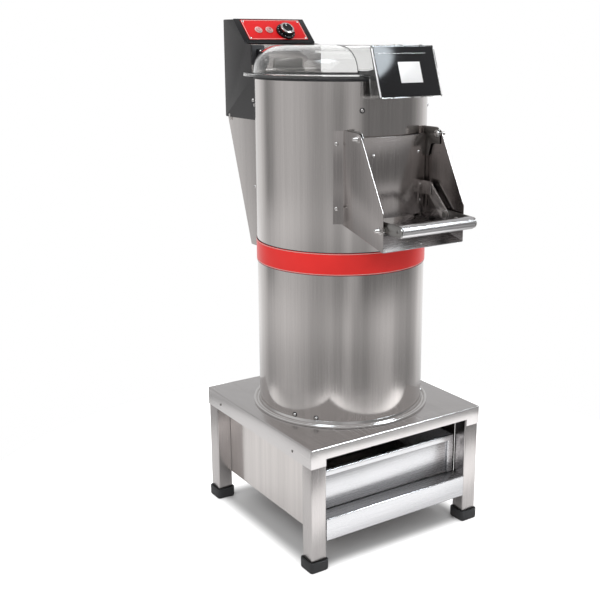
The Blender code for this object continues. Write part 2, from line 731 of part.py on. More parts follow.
def make_basin():
    """The catch basin between the legs: side panels with the drawer's runners, rear panel, floor and front rail."""
    for hand, side in (("left", -1), ("right", 1)):
        low, high = sorted((side * PANEL_INSIDE, side * PANEL_FACE))
        name = f"side_panel_{hand}"
        panel = block(name, (low, -BETWEEN_LEGS, BASIN_BOTTOM), (high, BETWEEN_LEGS, UNDER_TABLE), BRUSHED)
        near, far = sorted((side * (PANEL_INSIDE - RUNNER_WIDTH), side * (PANEL_INSIDE + WELD_LAP)))
        runner = block(
            f"runner_{hand}",
            (near, -BETWEEN_LEGS, RAIL_TOP - SHEET),
            (far, DRAWER_BACK, RAIL_TOP),
        )
        unite(panel, runner)
    rear = (BETWEEN_LEGS, PANEL_FACE, UNDER_TABLE)
    block("rear_panel", (-BETWEEN_LEGS, PANEL_INSIDE, BASIN_BOTTOM), rear, BRUSHED)
    floor = block(
        "basin_floor",
        (-BETWEEN_LEGS, -BETWEEN_LEGS, BASIN_BOTTOM),
        (BETWEEN_LEGS, BETWEEN_LEGS, BASIN_BOTTOM + SHEET),
        SHEET_STEEL,
    )
    drain_at = (0, DRAIN_BACK, BASIN_BOTTOM + SHEET)
    cut(floor, rod("drain_hole", DRAIN_RADIUS + FIT, -OVERRUN, OVERRUN, steps=SMALL_STEPS, at=drain_at))
    flange_bottom, flange_top = FIT, FIT + DRAIN_WALL
    bore, depth = DRAIN_RADIUS - DRAIN_WALL, DRAIN_BOTTOM - BASIN_BOTTOM - SHEET
    rim = DRAIN_RADIUS + DRAIN_FLANGE
    profile = [(rim, flange_top), (rim, flange_bottom), (DRAIN_RADIUS, flange_bottom), (DRAIN_RADIUS, depth)]
    profile += [(bore, depth), (bore, flange_top)]
    turned("drain_pipe", profile, SHEET_STEEL, at=drain_at, steps=SMALL_STEPS)
    back = -LEG_FACE + LEG_SIDE
    line = [
        (back, RAIL_TOP),
        (-LEG_FACE, RAIL_TOP),
        (-LEG_FACE, BASIN_BOTTOM),
        (RAIL_LIP - LEG_FACE, BASIN_BOTTOM),
    ]
    folded("front_rail", line, BETWEEN_LEGS, SHEET, SHEET_STEEL, flip=True)


def make_drawer():
    """The filter drawer: an open box with a rimmed front, and the slotted screen on its floor."""
    slide = joint_at("drawer_slide", (0, -DRAWER_FRONT, DRAWER_BOTTOM))
    front = -DRAWER_FRONT + DRAWER_RIM_DEPTH
    low = Vector((-DRAWER_HALF_WIDTH, front, DRAWER_BOTTOM))
    high = Vector((DRAWER_HALF_WIDTH, DRAWER_BACK, DRAWER_TOP))
    drawer = block("filter_drawer", low, high, BRUSHED, slide, at=slide.location)
    inside = Vector((DRAWER_SHEET, DRAWER_SHEET, DRAWER_SHEET))
    hollow = block("drawer_inside", low + inside, high - inside + Vector((0, 0, OVERRUN)))
    rim = Vector((DRAWER_FLOOR_RIM, DRAWER_FLOOR_RIM, 0))
    floor_cut = Vector((0, 0, OVERRUN))
    window = block("drawer_floor_window", low + rim - floor_cut, Vector((high.x, high.y, low.z)) - rim + floor_cut)
    left, right = -DRAWER_HALF_WIDTH, DRAWER_HALF_WIDTH
    outline = [
        (left, DRAWER_BOTTOM),
        (left + DRAWER_RIM_SIDE, DRAWER_BOTTOM),
        (left + DRAWER_RIM_SIDE, DRAWER_TOP - DRAWER_RIM_TOP),
        (right - DRAWER_RIM_SIDE, DRAWER_TOP - DRAWER_RIM_TOP),
        (right - DRAWER_RIM_SIDE, DRAWER_BOTTOM),
        (right, DRAWER_BOTTOM),
        (right, DRAWER_TOP),
        (left, DRAWER_TOP),
    ]
    depth = DRAWER_RIM_DEPTH + WELD_LAP
    border = plate("drawer_border", [outline], depth, at=(0, front + WELD_LAP - depth / 2, 0), turn=FRONT_ON)
    unite(cut(drawer, hollow, window), border)
    make_screen(slide, low, high)


def make_screen(slide, low, high):
    left = low.x + DRAWER_SHEET + FIT
    near, far = low.y + DRAWER_SHEET + FIT, high.y - DRAWER_SHEET - FIT
    middle = (near + far) / 2
    across, back = -2 * left / SCREEN_COLUMNS, (far - near) / SCREEN_ROWS
    long, wide = (across - SCREEN_BRIDGE) / 2, SCREEN_SLOT_WIDTH / 2
    holes = []
    for column in range(SCREEN_COLUMNS):
        for row in range(SCREEN_ROWS):
            x = (column - (SCREEN_COLUMNS - 1) / 2) * across
            y = middle + (row - (SCREEN_ROWS - 1) / 2) * back
            corners = ((-long, -wide), (-long, wide), (long, wide), (long, -wide))
            holes.append([(x + dx, y + dy - slide.location.y) for dx, dy in corners])
    rim = [(left, near), (-left, near), (-left, far), (left, far)]
    rim = [(x, y - slide.location.y) for x, y in rim]
    level = DRAWER_BOTTOM + DRAWER_SHEET + FIT + DRAWER_SHEET / 2
    at = (0, slide.location.y, level)
    plate("drawer_screen", [rim, *holes], DRAWER_SHEET, BRIGHT, at, FLAT, slide)


def make_drum():
    """Lower body, upper body with its discharge window, the band over their seam and the bead at the foot."""
    ring("lower_body", DRUM_RADIUS, DRUM_INSIDE, TABLE_HEIGHT + FIT, SEAM_LEVEL - FIT / 2, BRUSHED)
    upper = ring("upper_body", DRUM_RADIUS, DRUM_INSIDE, SEAM_LEVEL + FIT / 2, DRUM_TOP, BRUSHED)
    liner_outer = DRUM_INSIDE - FIT
    liner_inner = liner_outer - LINER_THICK
    liner = ring("chamber_liner", liner_outer, liner_inner, LINER_BOTTOM, LINER_TOP, GRIT)
    for name, body in (("upper_window", upper), ("liner_window", liner)):
        cut(body, window_cutter(name), pipe_hole(f"{name}_pipe"))
    band_top = BAND_BOTTOM + BAND_HEIGHT
    ring("red_band", DRUM_OUTSIDE + BAND_THICK, DRUM_OUTSIDE, BAND_BOTTOM, band_top, RED_FILM)
    foot = TABLE_HEIGHT + FIT
    curve = [math.pi / 2 * i / ARC_STEPS for i in range(ARC_STEPS + 1)]
    bead = [(DRUM_OUTSIDE + BEAD_REACH * math.sin(t), foot + BEAD_HEIGHT * math.cos(t)) for t in curve]
    turned("base_ring", [*bead, (DRUM_OUTSIDE, foot)], BRIGHT)


def window_cutter(name):
    """A rounded block through the front wall, drawn standing and then laid along -Y."""
    half = WINDOW_WIDTH / 2
    outline = filleted(
        [
            (-half, WINDOW_BOTTOM, WINDOW_ROUND),
            (half, WINDOW_BOTTOM, WINDOW_ROUND),
            (half, WINDOW_BOTTOM + WINDOW_HEIGHT, WINDOW_ROUND),
            (-half, WINDOW_BOTTOM + WINDOW_HEIGHT, WINDOW_ROUND),
        ]
    )
    return plate(name, [outline], DRUM_RADIUS, at=(0, -DRUM_RADIUS, 0), turn=FRONT_ON)


def pipe_hole(name):
    """The water pipe's way through the rear wall."""
    at = (PIPE_X, DRUM_RADIUS, PIPE_LEVEL)
    return rod(name, PIPE_RADIUS + PIPE_HOLE_GAP, -2 * OVERRUN, 2 * OVERRUN, at=at, turn=ALONG_Y)


def make_chamber_floor():
    """The chamber's floor with its slot over the waste duct, and the duct down to the drawer."""
    floor = turned(
        "chamber_floor",
        [
            (DRUM_INSIDE - FIT, FLOOR_THICK),
            (DRUM_INSIDE - FIT, 0),
            (HOUSING_RADIUS + FIT, 0),
            (HOUSING_RADIUS + FIT, FLOOR_THICK),
        ],
        SHEET_STEEL,
        at=(0, 0, FLOOR_LEVEL),
    )
    half, front, back = DUCT_WIDTH / 2, -DUCT_FRONT, DUCT_DEPTH - DUCT_FRONT
    slot = block(
        "floor_slot",
        (SHEET - half, front + SHEET, FLOOR_LEVEL - OVERRUN),
        (half - SHEET, back - SHEET, FLOOR_LEVEL + OVERRUN),
    )
    cut(floor, slot)
    tube_shell("waste_duct", (-half, front, DUCT_BOTTOM), (half, back, FLOOR_LEVEL - FIT), SHEET, SHEET_STEEL)


def make_spindle():
    """Bearing housing on the floor, its two bearings, the shaft, the abrasive disc and the large pulley."""
    flange_bottom = FLOOR_LEVEL + FLOOR_THICK + FIT
    flange_top = flange_bottom + HOUSING_FLANGE_THICK
    bore = BEARING_RADIUS + FIT
    housing = [(HOUSING_FLANGE_RADIUS, flange_top), (HOUSING_FLANGE_RADIUS, flange_bottom)]
    housing += [(HOUSING_RADIUS, flange_bottom), (HOUSING_RADIUS, HOUSING_BOTTOM)]
    housing += [(bore, HOUSING_BOTTOM), (bore, flange_top)]
    turned("bearing_housing", housing, CAST, steps=SMALL_STEPS)
    levels = {
        "upper_bearing": flange_top - BEARING_DROP - BEARING_HEIGHT,
        "lower_bearing": HOUSING_BOTTOM + BEARING_DROP / 2,
    }
    for name, level in levels.items():
        inner = SHAFT_RADIUS + FIT
        ring(name, BEARING_RADIUS, inner, level, level + BEARING_HEIGHT, BRIGHT, steps=SMALL_STEPS)
    spin = joint_at("disc_spin", (0, 0, PULLEY_BOTTOM))
    hub_bottom = DISC_TOP - DISC_HUB_DROP
    hub_bore_top = hub_bottom + DISC_HUB_BORE
    shaft_top = hub_bore_top - FIT
    rod("drive_shaft", SHAFT_RADIUS, SHAFT_BOTTOM, shaft_top, BRIGHT, steps=SMALL_STEPS, joint=spin)
    disc = turned(
        "peeling_disc",
        [
            (0, DISC_TOP),
            (DISC_RADIUS * DISC_DISH_SHARE, DISC_TOP - DISC_DISH),
            (DISC_RADIUS, DISC_TOP),
            (DISC_RADIUS, DISC_TOP - DISC_THICK),
            (DISC_HUB_RADIUS + DISC_DISH, DISC_TOP - DISC_THICK - DISC_DISH),
            (DISC_HUB_RADIUS, hub_bottom),
            (SHAFT_RADIUS + FIT, hub_bottom),
            (SHAFT_RADIUS + FIT, hub_bore_top),
            (0, hub_bore_top),
        ],
        GRIT,
        joint=spin,
    )
    for i in range(WAVE_COUNT):
        unite(disc, disc_wave(f"disc_wave_{i + 1}", 2 * math.pi * i / WAVE_COUNT))
    make_pulley("shaft_pulley", BIG_GROOVE_RADIUS, SHAFT_RADIUS + FIT, (0, 0), spin)


def disc_wave(name, turn):
    """A low ridge that runs outwards on the disc and lifts the potatoes."""
    bm = bmesh.new()
    bmesh.ops.create_cone(
        bm,
        cap_ends=True,
        segments=PIN_STEPS,
        radius1=WAVE_RADIUS,
        radius2=WAVE_RADIUS,
        depth=WAVE_LENGTH,
        matrix=Matrix.Rotation(math.pi / 2, 4, "Y"),
    )
    bmesh.ops.scale(bm, vec=(1, 1, WAVE_FLAT_SHARE), verts=bm.verts)
    middle = WAVE_START + WAVE_LENGTH / 2
    at = (middle * math.cos(turn), middle * math.sin(turn), DISC_TOP - DISC_DISH)
    return place(mesh_object(name, bm), GRIT, at, (0, 0, turn))


def make_pulley(name, groove, bore, centre, joint, stub=None):
    """A flat belt pulley with two flanges; with a stub it is one piece with its shaft."""
    bottom, top = PULLEY_BOTTOM, PULLEY_BOTTOM + PULLEY_HEIGHT
    rim = groove + PULLEY_FLANGE
    outer = [(rim, top), (rim, top - PULLEY_EDGE), (groove, top - PULLEY_EDGE)]
    outer += [(groove, bottom + PULLEY_EDGE), (rim, bottom + PULLEY_EDGE), (rim, bottom)]
    if stub is None:
        profile = [*outer, (bore, bottom), (bore, top)]
    else:
        profile = [(0, top), *outer, (bore, bottom), (bore, stub), (0, stub)]
    return turned(name, profile, CAST, at=(*centre, 0), steps=MEDIUM_STEPS, joint=joint)


def make_drive():
    """The motor under its plate, its rotor with the small pulley, and the belt round both pulleys."""
    plate_bottom = DRIVE_PLATE_TOP - DRIVE_PLATE_THICK
    shelf = rod("drive_plate", DRUM_INSIDE - FIT, plate_bottom, DRIVE_PLATE_TOP, SHEET_STEEL, steps=ROUND_STEPS)
    half, gap = DUCT_WIDTH / 2, 2 * FIT
    duct_way = block(
        "duct_way",
        (-half - gap, -DUCT_FRONT - gap, plate_bottom - OVERRUN),
        (half + gap, DUCT_DEPTH - DUCT_FRONT + gap, DRIVE_PLATE_TOP + OVERRUN),
    )
    motor_at = (0, MOTOR_OFFSET, 0)
    rotor_way = rod(
        "rotor_way",
        ROTOR_RADIUS + PULLEY_FLANGE,
        plate_bottom - OVERRUN,
        DRIVE_PLATE_TOP + OVERRUN,
        steps=SMALL_STEPS,
        at=motor_at,
    )
    cut(shelf, duct_way, rotor_way)
    make_motor(plate_bottom - FIT, motor_at)
    spin = joint_at("motor_spin", (0, MOTOR_OFFSET, PULLEY_BOTTOM))
    stub = plate_bottom - MOTOR_FLANGE_THICK
    make_pulley("motor_rotor", SMALL_GROOVE_RADIUS, ROTOR_RADIUS, (0, MOTOR_OFFSET), spin, stub)
    loops = [belt_points(extra) for extra in (BELT_INNER_GAP + BELT_THICK, BELT_INNER_GAP)]
    width = PULLEY_HEIGHT - 2 * PULLEY_EDGE - BELT_GAP
    plate("drive_belt", loops, width, BLACK_RUBBER, (0, 0, PULLEY_BOTTOM + PULLEY_HEIGHT / 2), FLAT)


def make_motor(top, at):
    """A flanged motor that hangs from its plate, with end cap and terminal box."""
    bottom = top - MOTOR_LENGTH
    waist = top - MOTOR_FLANGE_THICK
    socket = ROTOR_RADIUS + FIT
    motor = turned(
        "motor",
        [
            (socket, top),
            (MOTOR_FLANGE_RADIUS, top),
            (MOTOR_FLANGE_RADIUS, waist),
            (MOTOR_RADIUS, waist),
            (MOTOR_RADIUS, bottom + MOTOR_CAP_LENGTH),
            (MOTOR_CAP_RADIUS, bottom),
            (0, bottom),
            (0, waist - MOTOR_FLANGE_THICK),
            (socket, waist - MOTOR_FLANGE_THICK),
        ],
        MOTOR_PAINT,
        at=at,
        steps=SMALL_STEPS,
    )
    middle = top - MOTOR_LENGTH / 2
    box = block(
        "terminal_box",
        (0, MOTOR_OFFSET - MOTOR_BOX_WIDTH / 2, middle - MOTOR_BOX_HEIGHT / 2),
        (MOTOR_BOX_REACH, MOTOR_OFFSET + MOTOR_BOX_WIDTH / 2, middle + MOTOR_BOX_HEIGHT / 2),
    )
    hollow = waist - MOTOR_FLANGE_THICK - OVERRUN
    keep_clear = rod("socket_core", socket, hollow, top + OVERRUN, at=at, steps=SMALL_STEPS)
    cut(unite(motor, box), keep_clear)


def belt_points(extra):
    """The loop that two circles, the pulleys' grooves grown by extra, and their tangents make."""
    big, small = BIG_GROOVE_RADIUS + extra, SMALL_GROOVE_RADIUS + extra
    lean = math.asin((big - small) / MOTOR_OFFSET)
    count = 2 * SMALL_STEPS
    points = []
    for i in range(count + 1):
        turn = math.pi - lean + (math.pi + 2 * lean) * i / count
        points.append((big * math.cos(turn), big * math.sin(turn)))
    for i in range(SMALL_STEPS // 2 + 1):
        turn = lean + (math.pi - 2 * lean) * i / (SMALL_STEPS // 2)
        points.append((small * math.cos(turn), MOTOR_OFFSET + small * math.sin(turn)))
    return points


def chute_outline():
    """The side plate's outline in (y, z), from its root inside the drum wall round the front."""
    return filleted(
        [
            (-CHUTE_ROOT, CHUTE_TOP, 0),
            (-DRUM_RADIUS - CHUTE_TOP_REACH, CHUTE_TOP - CHUTE_TOP_DROP, CHUTE_ROUND),
            (-CHUTE_FRONT, CHUTE_FRONT_TOP, CHUTE_CORNER),
            (-CHUTE_FRONT, CHUTE_LIP, CHUTE_CORNER),
            (-CHUTE_CHORD - CHUTE_HEEL_REACH, CHUTE_HEEL, CHUTE_CORNER),
            (-CHUTE_ROOT, CHUTE_FLANGE_BOTTOM, 0),
        ]
    )


def make_chute():
    """Side plates with flanges bent onto the drum and their studs, and the sloping floor between them."""
    for hand, side in (("left", -1), ("right", 1)):
        cheek = side_plate(f"chute_{hand}", [chute_outline()], CHUTE_INSIDE, CHUTE_HALF_WIDTH, side, SHEET_STEEL)
        corner = math.asin((CHUTE_HALF_WIDTH - SHEET) / DRUM_RADIUS)
        flange = arc_sheet(
            f"chute_flange_{hand}",
            DRUM_RADIUS,
            DRUM_OUTSIDE + SHEET,
            CHUTE_FLANGE_BOTTOM,
            CHUTE_FLANGE_TOP,
            side * corner - math.pi / 2,
            side * (corner + CHUTE_FLANGE_TURN) - math.pi / 2,
        )
        cut(unite(cheek, flange), drum_cutter(f"chute_{hand}_drum", DRUM_OUTSIDE, CHUTE_LIP, DRUM_TOP))
        pins = []
        for pin, centre, carried in (("door", DOOR_PIVOT, LUG_INNER), ("handle", HANDLE_PIVOT, ARM_INNER)):
            head_top = carried - FIT
            steps = [
                (STUD_HEAD_RADIUS, head_top - STUD_HEAD_THICK, head_top),
                (PIVOT_RADIUS, head_top, CHUTE_INSIDE + WELD_LAP),
                (STUD_HEAD_RADIUS, CHUTE_INSIDE + WELD_LAP, CHUTE_HALF_WIDTH + STUD_TAIL - STUD_HEAD_THICK),
                (PIVOT_RADIUS, CHUTE_HALF_WIDTH + STUD_TAIL - STUD_HEAD_THICK, CHUTE_HALF_WIDTH + STUD_TAIL),
            ]
            pins.append(stepped_pin(f"{pin}_stud_{hand}", steps, side, centre))
        unite(cheek, *pins)
    drop = CHUTE_FALL / (CHUTE_FRONT - CHUTE_CHORD - CHUTE_HEEL_REACH)
    rise = CHUTE_LIP + SHEET + drop * (CHUTE_FRONT - CHUTE_ROOT)
    line = [(-CHUTE_FRONT, CHUTE_LIP + SHEET), (-CHUTE_ROOT, rise)]
    floor = folded("chute_floor", line, CHUTE_INSIDE - FIT, SHEET, SHEET_STEEL)
    cut(floor, drum_cutter("chute_floor_drum", DRUM_OUTSIDE, CHUTE_LIP - OVERRUN, DRUM_TOP))


def door_arc(name, inner, outer, bottom, top, half_turn, finish, joint):
    """A sheet that follows the drum across the window."""
    start, end = -math.pi / 2 - half_turn, -math.pi / 2 + half_turn
    return arc_sheet(name, inner, outer, bottom, top, start, end, finish, joint, DOOR_STEPS)


def make_door():
    """The curved door with its lugs, ears and ear pins, and the rubber seal behind it."""
    hinge = joint_at("door_hinge", (0, *DOOR_PIVOT))
    door = door_arc(
        "door_panel",
        DOOR_INNER_RADIUS,
        DOOR_OUTER_RADIUS,
        DOOR_BOTTOM,
        DOOR_TOP,
        DOOR_HALF_TURN,
        SHEET_STEEL,
        hinge,
    )
    for hand, side in (("left", -1), ("right", 1)):
        unite(door, door_lug(f"door_lug_{hand}", side), *door_ear(hand, side))
    seal_turn = DOOR_HALF_TURN - SHEET / DOOR_INNER_RADIUS
    seal = door_arc(
        "door_seal",
        DRUM_OUTSIDE + FIT,
        DOOR_INNER_RADIUS - FIT,
        DOOR_BOTTOM + SHEET,
        DOOR_TOP - SHEET,
        seal_turn,
        BLACK_RUBBER,
        hinge,
    )
    half = (DRUM_RADIUS * math.sin(seal_turn)) - SEAL_WIDTH
    outline = filleted(
        [
            (-half, DOOR_BOTTOM + SEAL_WIDTH, WINDOW_ROUND),
            (half, DOOR_BOTTOM + SEAL_WIDTH, WINDOW_ROUND),
            (half, DOOR_TOP - SEAL_WIDTH, WINDOW_ROUND),
            (-half, DOOR_TOP - SEAL_WIDTH, WINDOW_ROUND),
        ]
    )
    cut(seal, plate("seal_window", [outline], DRUM_RADIUS, at=(0, -DRUM_RADIUS, 0), turn=FRONT_ON))


def door_lug(name, side):
    """The cheek at the door's edge that hangs on the upper stud and tapers down the edge."""
    y, z = DOOR_PIVOT
    back = LUG_EDGE + LUG_BACK_LAP
    outline = filleted(
        [
            (back, z + LUG_TOP_RISE, LUG_ROUND),
            (y - LUG_FRONT_REACH, z + LUG_TOP_RISE, LUG_ROUND),
            (y - LUG_FRONT_REACH, z - LUG_KNEE_DROP, LUG_ROUND),
            (LUG_EDGE - LUG_TAIL_WIDTH * 2, z - LUG_KNEE_DROP, LUG_ROUND),
            (LUG_EDGE - LUG_TAIL_WIDTH, z - LUG_TAIL_DROP, 0),
            (LUG_EDGE + LUG_ROUND, z - LUG_TAIL_DROP, 0),
            (LUG_EDGE + LUG_ROUND, z - LUG_ROUND, 0),
            (back, z - LUG_ROUND, LUG_ROUND),
        ]
    )
    hole = round_points(DOOR_PIVOT, PIVOT_RADIUS + PIVOT_PLAY)
    return side_plate(name, [outline, hole], LUG_INNER, LUG_INNER + LUG_THICK, side)


def door_ear(hand, side):
    """The ear that the link hangs on, and its headed pin."""
    y, z = EAR_PIVOT
    outline = filleted(
        [
            (-EAR_ROOT, z + EAR_RISE, 0),
            (y - EAR_REACH, z + EAR_RISE, LUG_ROUND),
            (y - EAR_REACH, z - EAR_RISE, LUG_ROUND),
            (-EAR_ROOT, z - EAR_RISE, 0),
        ]
    )
    ear = side_plate(f"ear_{hand}", [outline], EAR_OUTER - EAR_THICK, EAR_OUTER, side)
    trimmed = drum_cutter(f"ear_{hand}_trim", DOOR_OUTER_RADIUS - WELD_LAP, z - OVERRUN, z + OVERRUN)
    cut(ear, trimmed)
    pin_end = LINK_OUTER + FIT
    steps = [
        (PIVOT_RADIUS, EAR_OUTER - WELD_LAP, pin_end),
        (PIVOT_HEAD_RADIUS, pin_end, pin_end + PIVOT_HEAD_THICK),
    ]
    return ear, stepped_pin(f"ear_pin_{hand}", steps, side, EAR_PIVOT)


def make_handle():
    """Two arms on the lower studs, the round bar between them, and the links up to the door's ears."""
    swing = joint_at("handle_hinge", (0, *HANDLE_PIVOT))
    for hand, side in (("left", -1), ("right", 1)):
        outline = capsule_points(LINK_PIVOT, BAR_CENTRE, ARM_HALF_HEIGHT)
        hole = round_points(HANDLE_PIVOT, PIVOT_RADIUS + PIVOT_PLAY)
        arm = side_plate(
            f"handle_arm_{hand}", [outline, hole], ARM_INNER, ARM_OUTER, side, BRIGHT, swing, HANDLE_PIVOT
        )
        pin_end = LINK_INNER - FIT
        steps = [
            (PIVOT_HEAD_RADIUS, pin_end - PIVOT_HEAD_THICK, pin_end),
            (PIVOT_RADIUS, pin_end, ARM_INNER + WELD_LAP),
        ]
        unite(arm, stepped_pin(f"link_pin_{hand}", steps, side, LINK_PIVOT))
    reach = ARM_INNER - FIT
    profile = [
        (0, reach),
        (BAR_RADIUS - BAR_ROUND, reach),
        (BAR_RADIUS, reach - BAR_ROUND),
        (BAR_RADIUS, BAR_ROUND - reach),
        (BAR_RADIUS - BAR_ROUND, -reach),
        (0, -reach),
    ]
    turned("handle_bar", profile, BRIGHT, at=(0, *BAR_CENTRE), turn=ALONG_X, steps=SMALL_STEPS, joint=swing)
    make_links()


def make_links():
    """Each link turns on the arm's pin; a slot at its upper end takes the ear's pin."""
    turn = joint_at("link_hinge", (0, *LINK_PIVOT))
    start, end = Vector(LINK_PIVOT), Vector(EAR_PIVOT)
    slot_start = end - (end - start).normalized() * LINK_SLOT_RUN
    for hand, side in (("left", -1), ("right", 1)):
        outline = capsule_points(start, end, LINK_HALF_WIDTH)
        hole = round_points(start, PIVOT_RADIUS + PIVOT_PLAY)
        slot = capsule_points(slot_start, end, PIVOT_RADIUS + 2 * PIVOT_PLAY)
        name = f"link_{hand}"
        side_plate(name, [outline, hole, slot], LINK_INNER, LINK_OUTER, side, BRIGHT, turn, LINK_PIVOT)


def dome_profile(inset):
    """The dome from its flat top down to its foot on the flange, moved inwards by inset."""
    rise = LID_TOP - LID_FLANGE_TOP
    run = DOME_FOOT_RADIUS - DOME_FLAT_RADIUS
    points = []
    for i in range(DOME_STEPS + 1):
        turn = math.pi / 2 * i / DOME_STEPS
        out = math.sin(turn) ** (2 / DOME_POWER)
        up = math.cos(turn) ** (2 / DOME_POWER)
        points.append((DOME_FLAT_RADIUS + run * out - inset, LID_FLANGE_TOP + rise * up - inset))
    return points


def rake_point(along, depth):
    """A (y, z) point on the hood's raked front: along it from the top, and depth behind it."""
    down = (-math.sin(HOOD_RAKE), -math.cos(HOOD_RAKE))
    behind = (math.cos(HOOD_RAKE), -math.sin(HOOD_RAKE))
    y, z = HOOD_TOP_FRONT
    return y + down[0] * along + behind[0] * depth, z + down[1] * along + behind[1] * depth


def make_lid():
    """The clear lid: a dome on a lipped flange, opened at the front into a hood with a raked face."""
    hinge = joint_at("lid_hinge", (0, HINGE_BACK, HINGE_LEVEL))
    lip = LID_FLANGE_TOP - LID_LIP_DROP
    rim = [(LID_FLANGE_RADIUS, LID_FLANGE_TOP), (LID_FLANGE_RADIUS, lip)]
    outer = [(0, LID_TOP), *dome_profile(0), *rim, (0, lip)]
    lid = turned("lid", outer, CLEAR, joint=hinge)
    under = LID_FLANGE_TOP - LID_WALL
    inner_radius = LID_FLANGE_RADIUS - LID_WALL
    inner = [(0, LID_TOP - LID_WALL), *dome_profile(LID_WALL)[:-1], (DOME_FOOT_RADIUS - LID_WALL, under)]
    inner += [(inner_radius, under), (inner_radius, lip - OVERRUN), (0, lip - OVERRUN)]
    skirt_back = HOOD_BOTTOM_FRONT[0] + HOOD_SKIRT_DEPTH
    outline = [
        (-DOME_FLAT_RADIUS / 2, LID_TOP),
        HOOD_TOP_FRONT,
        HOOD_BOTTOM_FRONT,
        (skirt_back, HOOD_BOTTOM_FRONT[1]),
        (skirt_back, lip),
        (-DOME_FLAT_RADIUS / 2, lip),
    ]
    hood = plate("hood", [outline], 2 * HOOD_HALF_WIDTH)
    face = FRONT_PLATE_THICK + FIT + LID_WALL
    hollow = [
        (0, LID_TOP - LID_WALL),
        (rake_point(LID_WALL / math.cos(HOOD_RAKE), face)[0], LID_TOP - LID_WALL),
        rake_point(HOOD_LENGTH + OVERRUN, face),
        (0, HOOD_BOTTOM_FRONT[1] - OVERRUN),
    ]
    hood_inside = plate("hood_inside", [hollow], 2 * (HOOD_HALF_WIDTH - LID_WALL))
    pocket = [
        rake_point(FRONT_PLATE_START - FIT, -OVERRUN),
        rake_point(FRONT_PLATE_START - FIT, FRONT_PLATE_THICK + FIT),
        rake_point(FRONT_PLATE_START + FRONT_PLATE_HEIGHT + FIT, FRONT_PLATE_THICK + FIT),
        rake_point(FRONT_PLATE_START + FRONT_PLATE_HEIGHT + FIT, -OVERRUN),
    ]
    pocket_cut = plate("plate_pocket", [pocket], 2 * (FRONT_PLATE_HALF_WIDTH + FIT))
    cut(unite(lid, hood), turned("dome_inside", inner), hood_inside, pocket_cut)
    end = FRONT_PLATE_START + FRONT_PLATE_HEIGHT
    front = [
        rake_point(FRONT_PLATE_START, 0),
        rake_point(FRONT_PLATE_START, FRONT_PLATE_THICK),
        rake_point(end, FRONT_PLATE_THICK),
        rake_point(end, 0),
    ]
    plate("lid_front_plate", [front], 2 * FRONT_PLATE_HALF_WIDTH, BLACK_PANEL, joint=hinge)
    make_gasket()
    make_lid_hinge(hinge)


def make_gasket():
    """A U-shaped rubber that grips the drum's rim and carries the lid's flange."""
    top = LID_FLANGE_TOP - LID_WALL - FIT
    slot_top = DRUM_TOP + FIT
    profile = [
        (GASKET_OUTER_RADIUS, top),
        (GASKET_OUTER_RADIUS, GASKET_BOTTOM),
        (DRUM_RADIUS + FIT, GASKET_BOTTOM),
        (DRUM_RADIUS + FIT, slot_top),
        (DRUM_INSIDE - FIT, slot_top),
        (DRUM_INSIDE - FIT, GASKET_BOTTOM),
        (GASKET_INNER_RADIUS, GASKET_BOTTOM),
        (GASKET_INNER_RADIUS, top),
    ]
    turned("rim_gasket", profile, BLACK_RUBBER)


def make_lid_hinge(hinge):
    """The leaf on the flange with two knuckles, and the bracket with the middle knuckle and the pin."""
    axis = (0, HINGE_BACK, HINGE_LEVEL)
    leaf_bottom = LID_FLANGE_TOP + FIT
    leaf = block(
        "lid_hinge_leaf",
        (SHEET - HINGE_END, HINGE_LEAF_FRONT, leaf_bottom),
        (HINGE_END - SHEET, HINGE_BACK, leaf_bottom + HINGE_LEAF_THICK),
        BRIGHT,
        hinge,
        at=axis,
    )
    knuckles = []
    for name, side in (("left", -1), ("right", 1)):
        low, high = sorted((side * (HINGE_MIDDLE + FIT), side * HINGE_END))
        bore = HINGE_PIN_RADIUS + FIT
        rest = {"at": axis, "turn": ALONG_X, "steps": PIN_STEPS}
        knuckles.append(ring(f"knuckle_{name}", HINGE_KNUCKLE_RADIUS, bore, low, high, **rest))
    notch_half = HINGE_MIDDLE + FIT
    notch = block(
        "leaf_notch",
        (-notch_half, HINGE_BACK - HINGE_KNUCKLE_RADIUS - SHEET, leaf_bottom - OVERRUN),
        (notch_half, HINGE_BACK + OVERRUN, leaf_bottom + OVERRUN),
    )
    dome_way = drum_cutter("leaf_dome", DOME_FOOT_RADIUS + FIT, leaf_bottom - OVERRUN, leaf_bottom + OVERRUN)
    cut(unite(leaf, *knuckles), notch, dome_way)
    bracket = block(
        "hinge_bracket",
        (-HINGE_MIDDLE, HINGE_BACK + HINGE_PIN_RADIUS, HINGE_LEVEL - HINGE_KNUCKLE_RADIUS),
        (HINGE_MIDDLE, BOX_FRONT - FIT, HINGE_LEVEL + HINGE_PLATE_HEIGHT),
        BRIGHT,
    )
    middle = rod("middle_knuckle", HINGE_KNUCKLE_RADIUS, -HINGE_MIDDLE, HINGE_MIDDLE, at=axis, turn=ALONG_X)
    pin = rod("hinge_pin", HINGE_PIN_RADIUS, -HINGE_END - SHEET, HINGE_END + SHEET, at=axis, turn=ALONG_X)
    unite(bracket, middle, pin)
    block(
        "lid_switch",
        (-SWITCH_LEFT, BOX_FRONT - FIT - SWITCH_DEPTH, SWITCH_BOTTOM),
        (SWITCH_WIDTH - SWITCH_LEFT, BOX_FRONT - FIT, SWITCH_BOTTOM + SWITCH_HEIGHT),
        BLACK_PANEL,
        rounding=BUTTON_EDGE,
    )


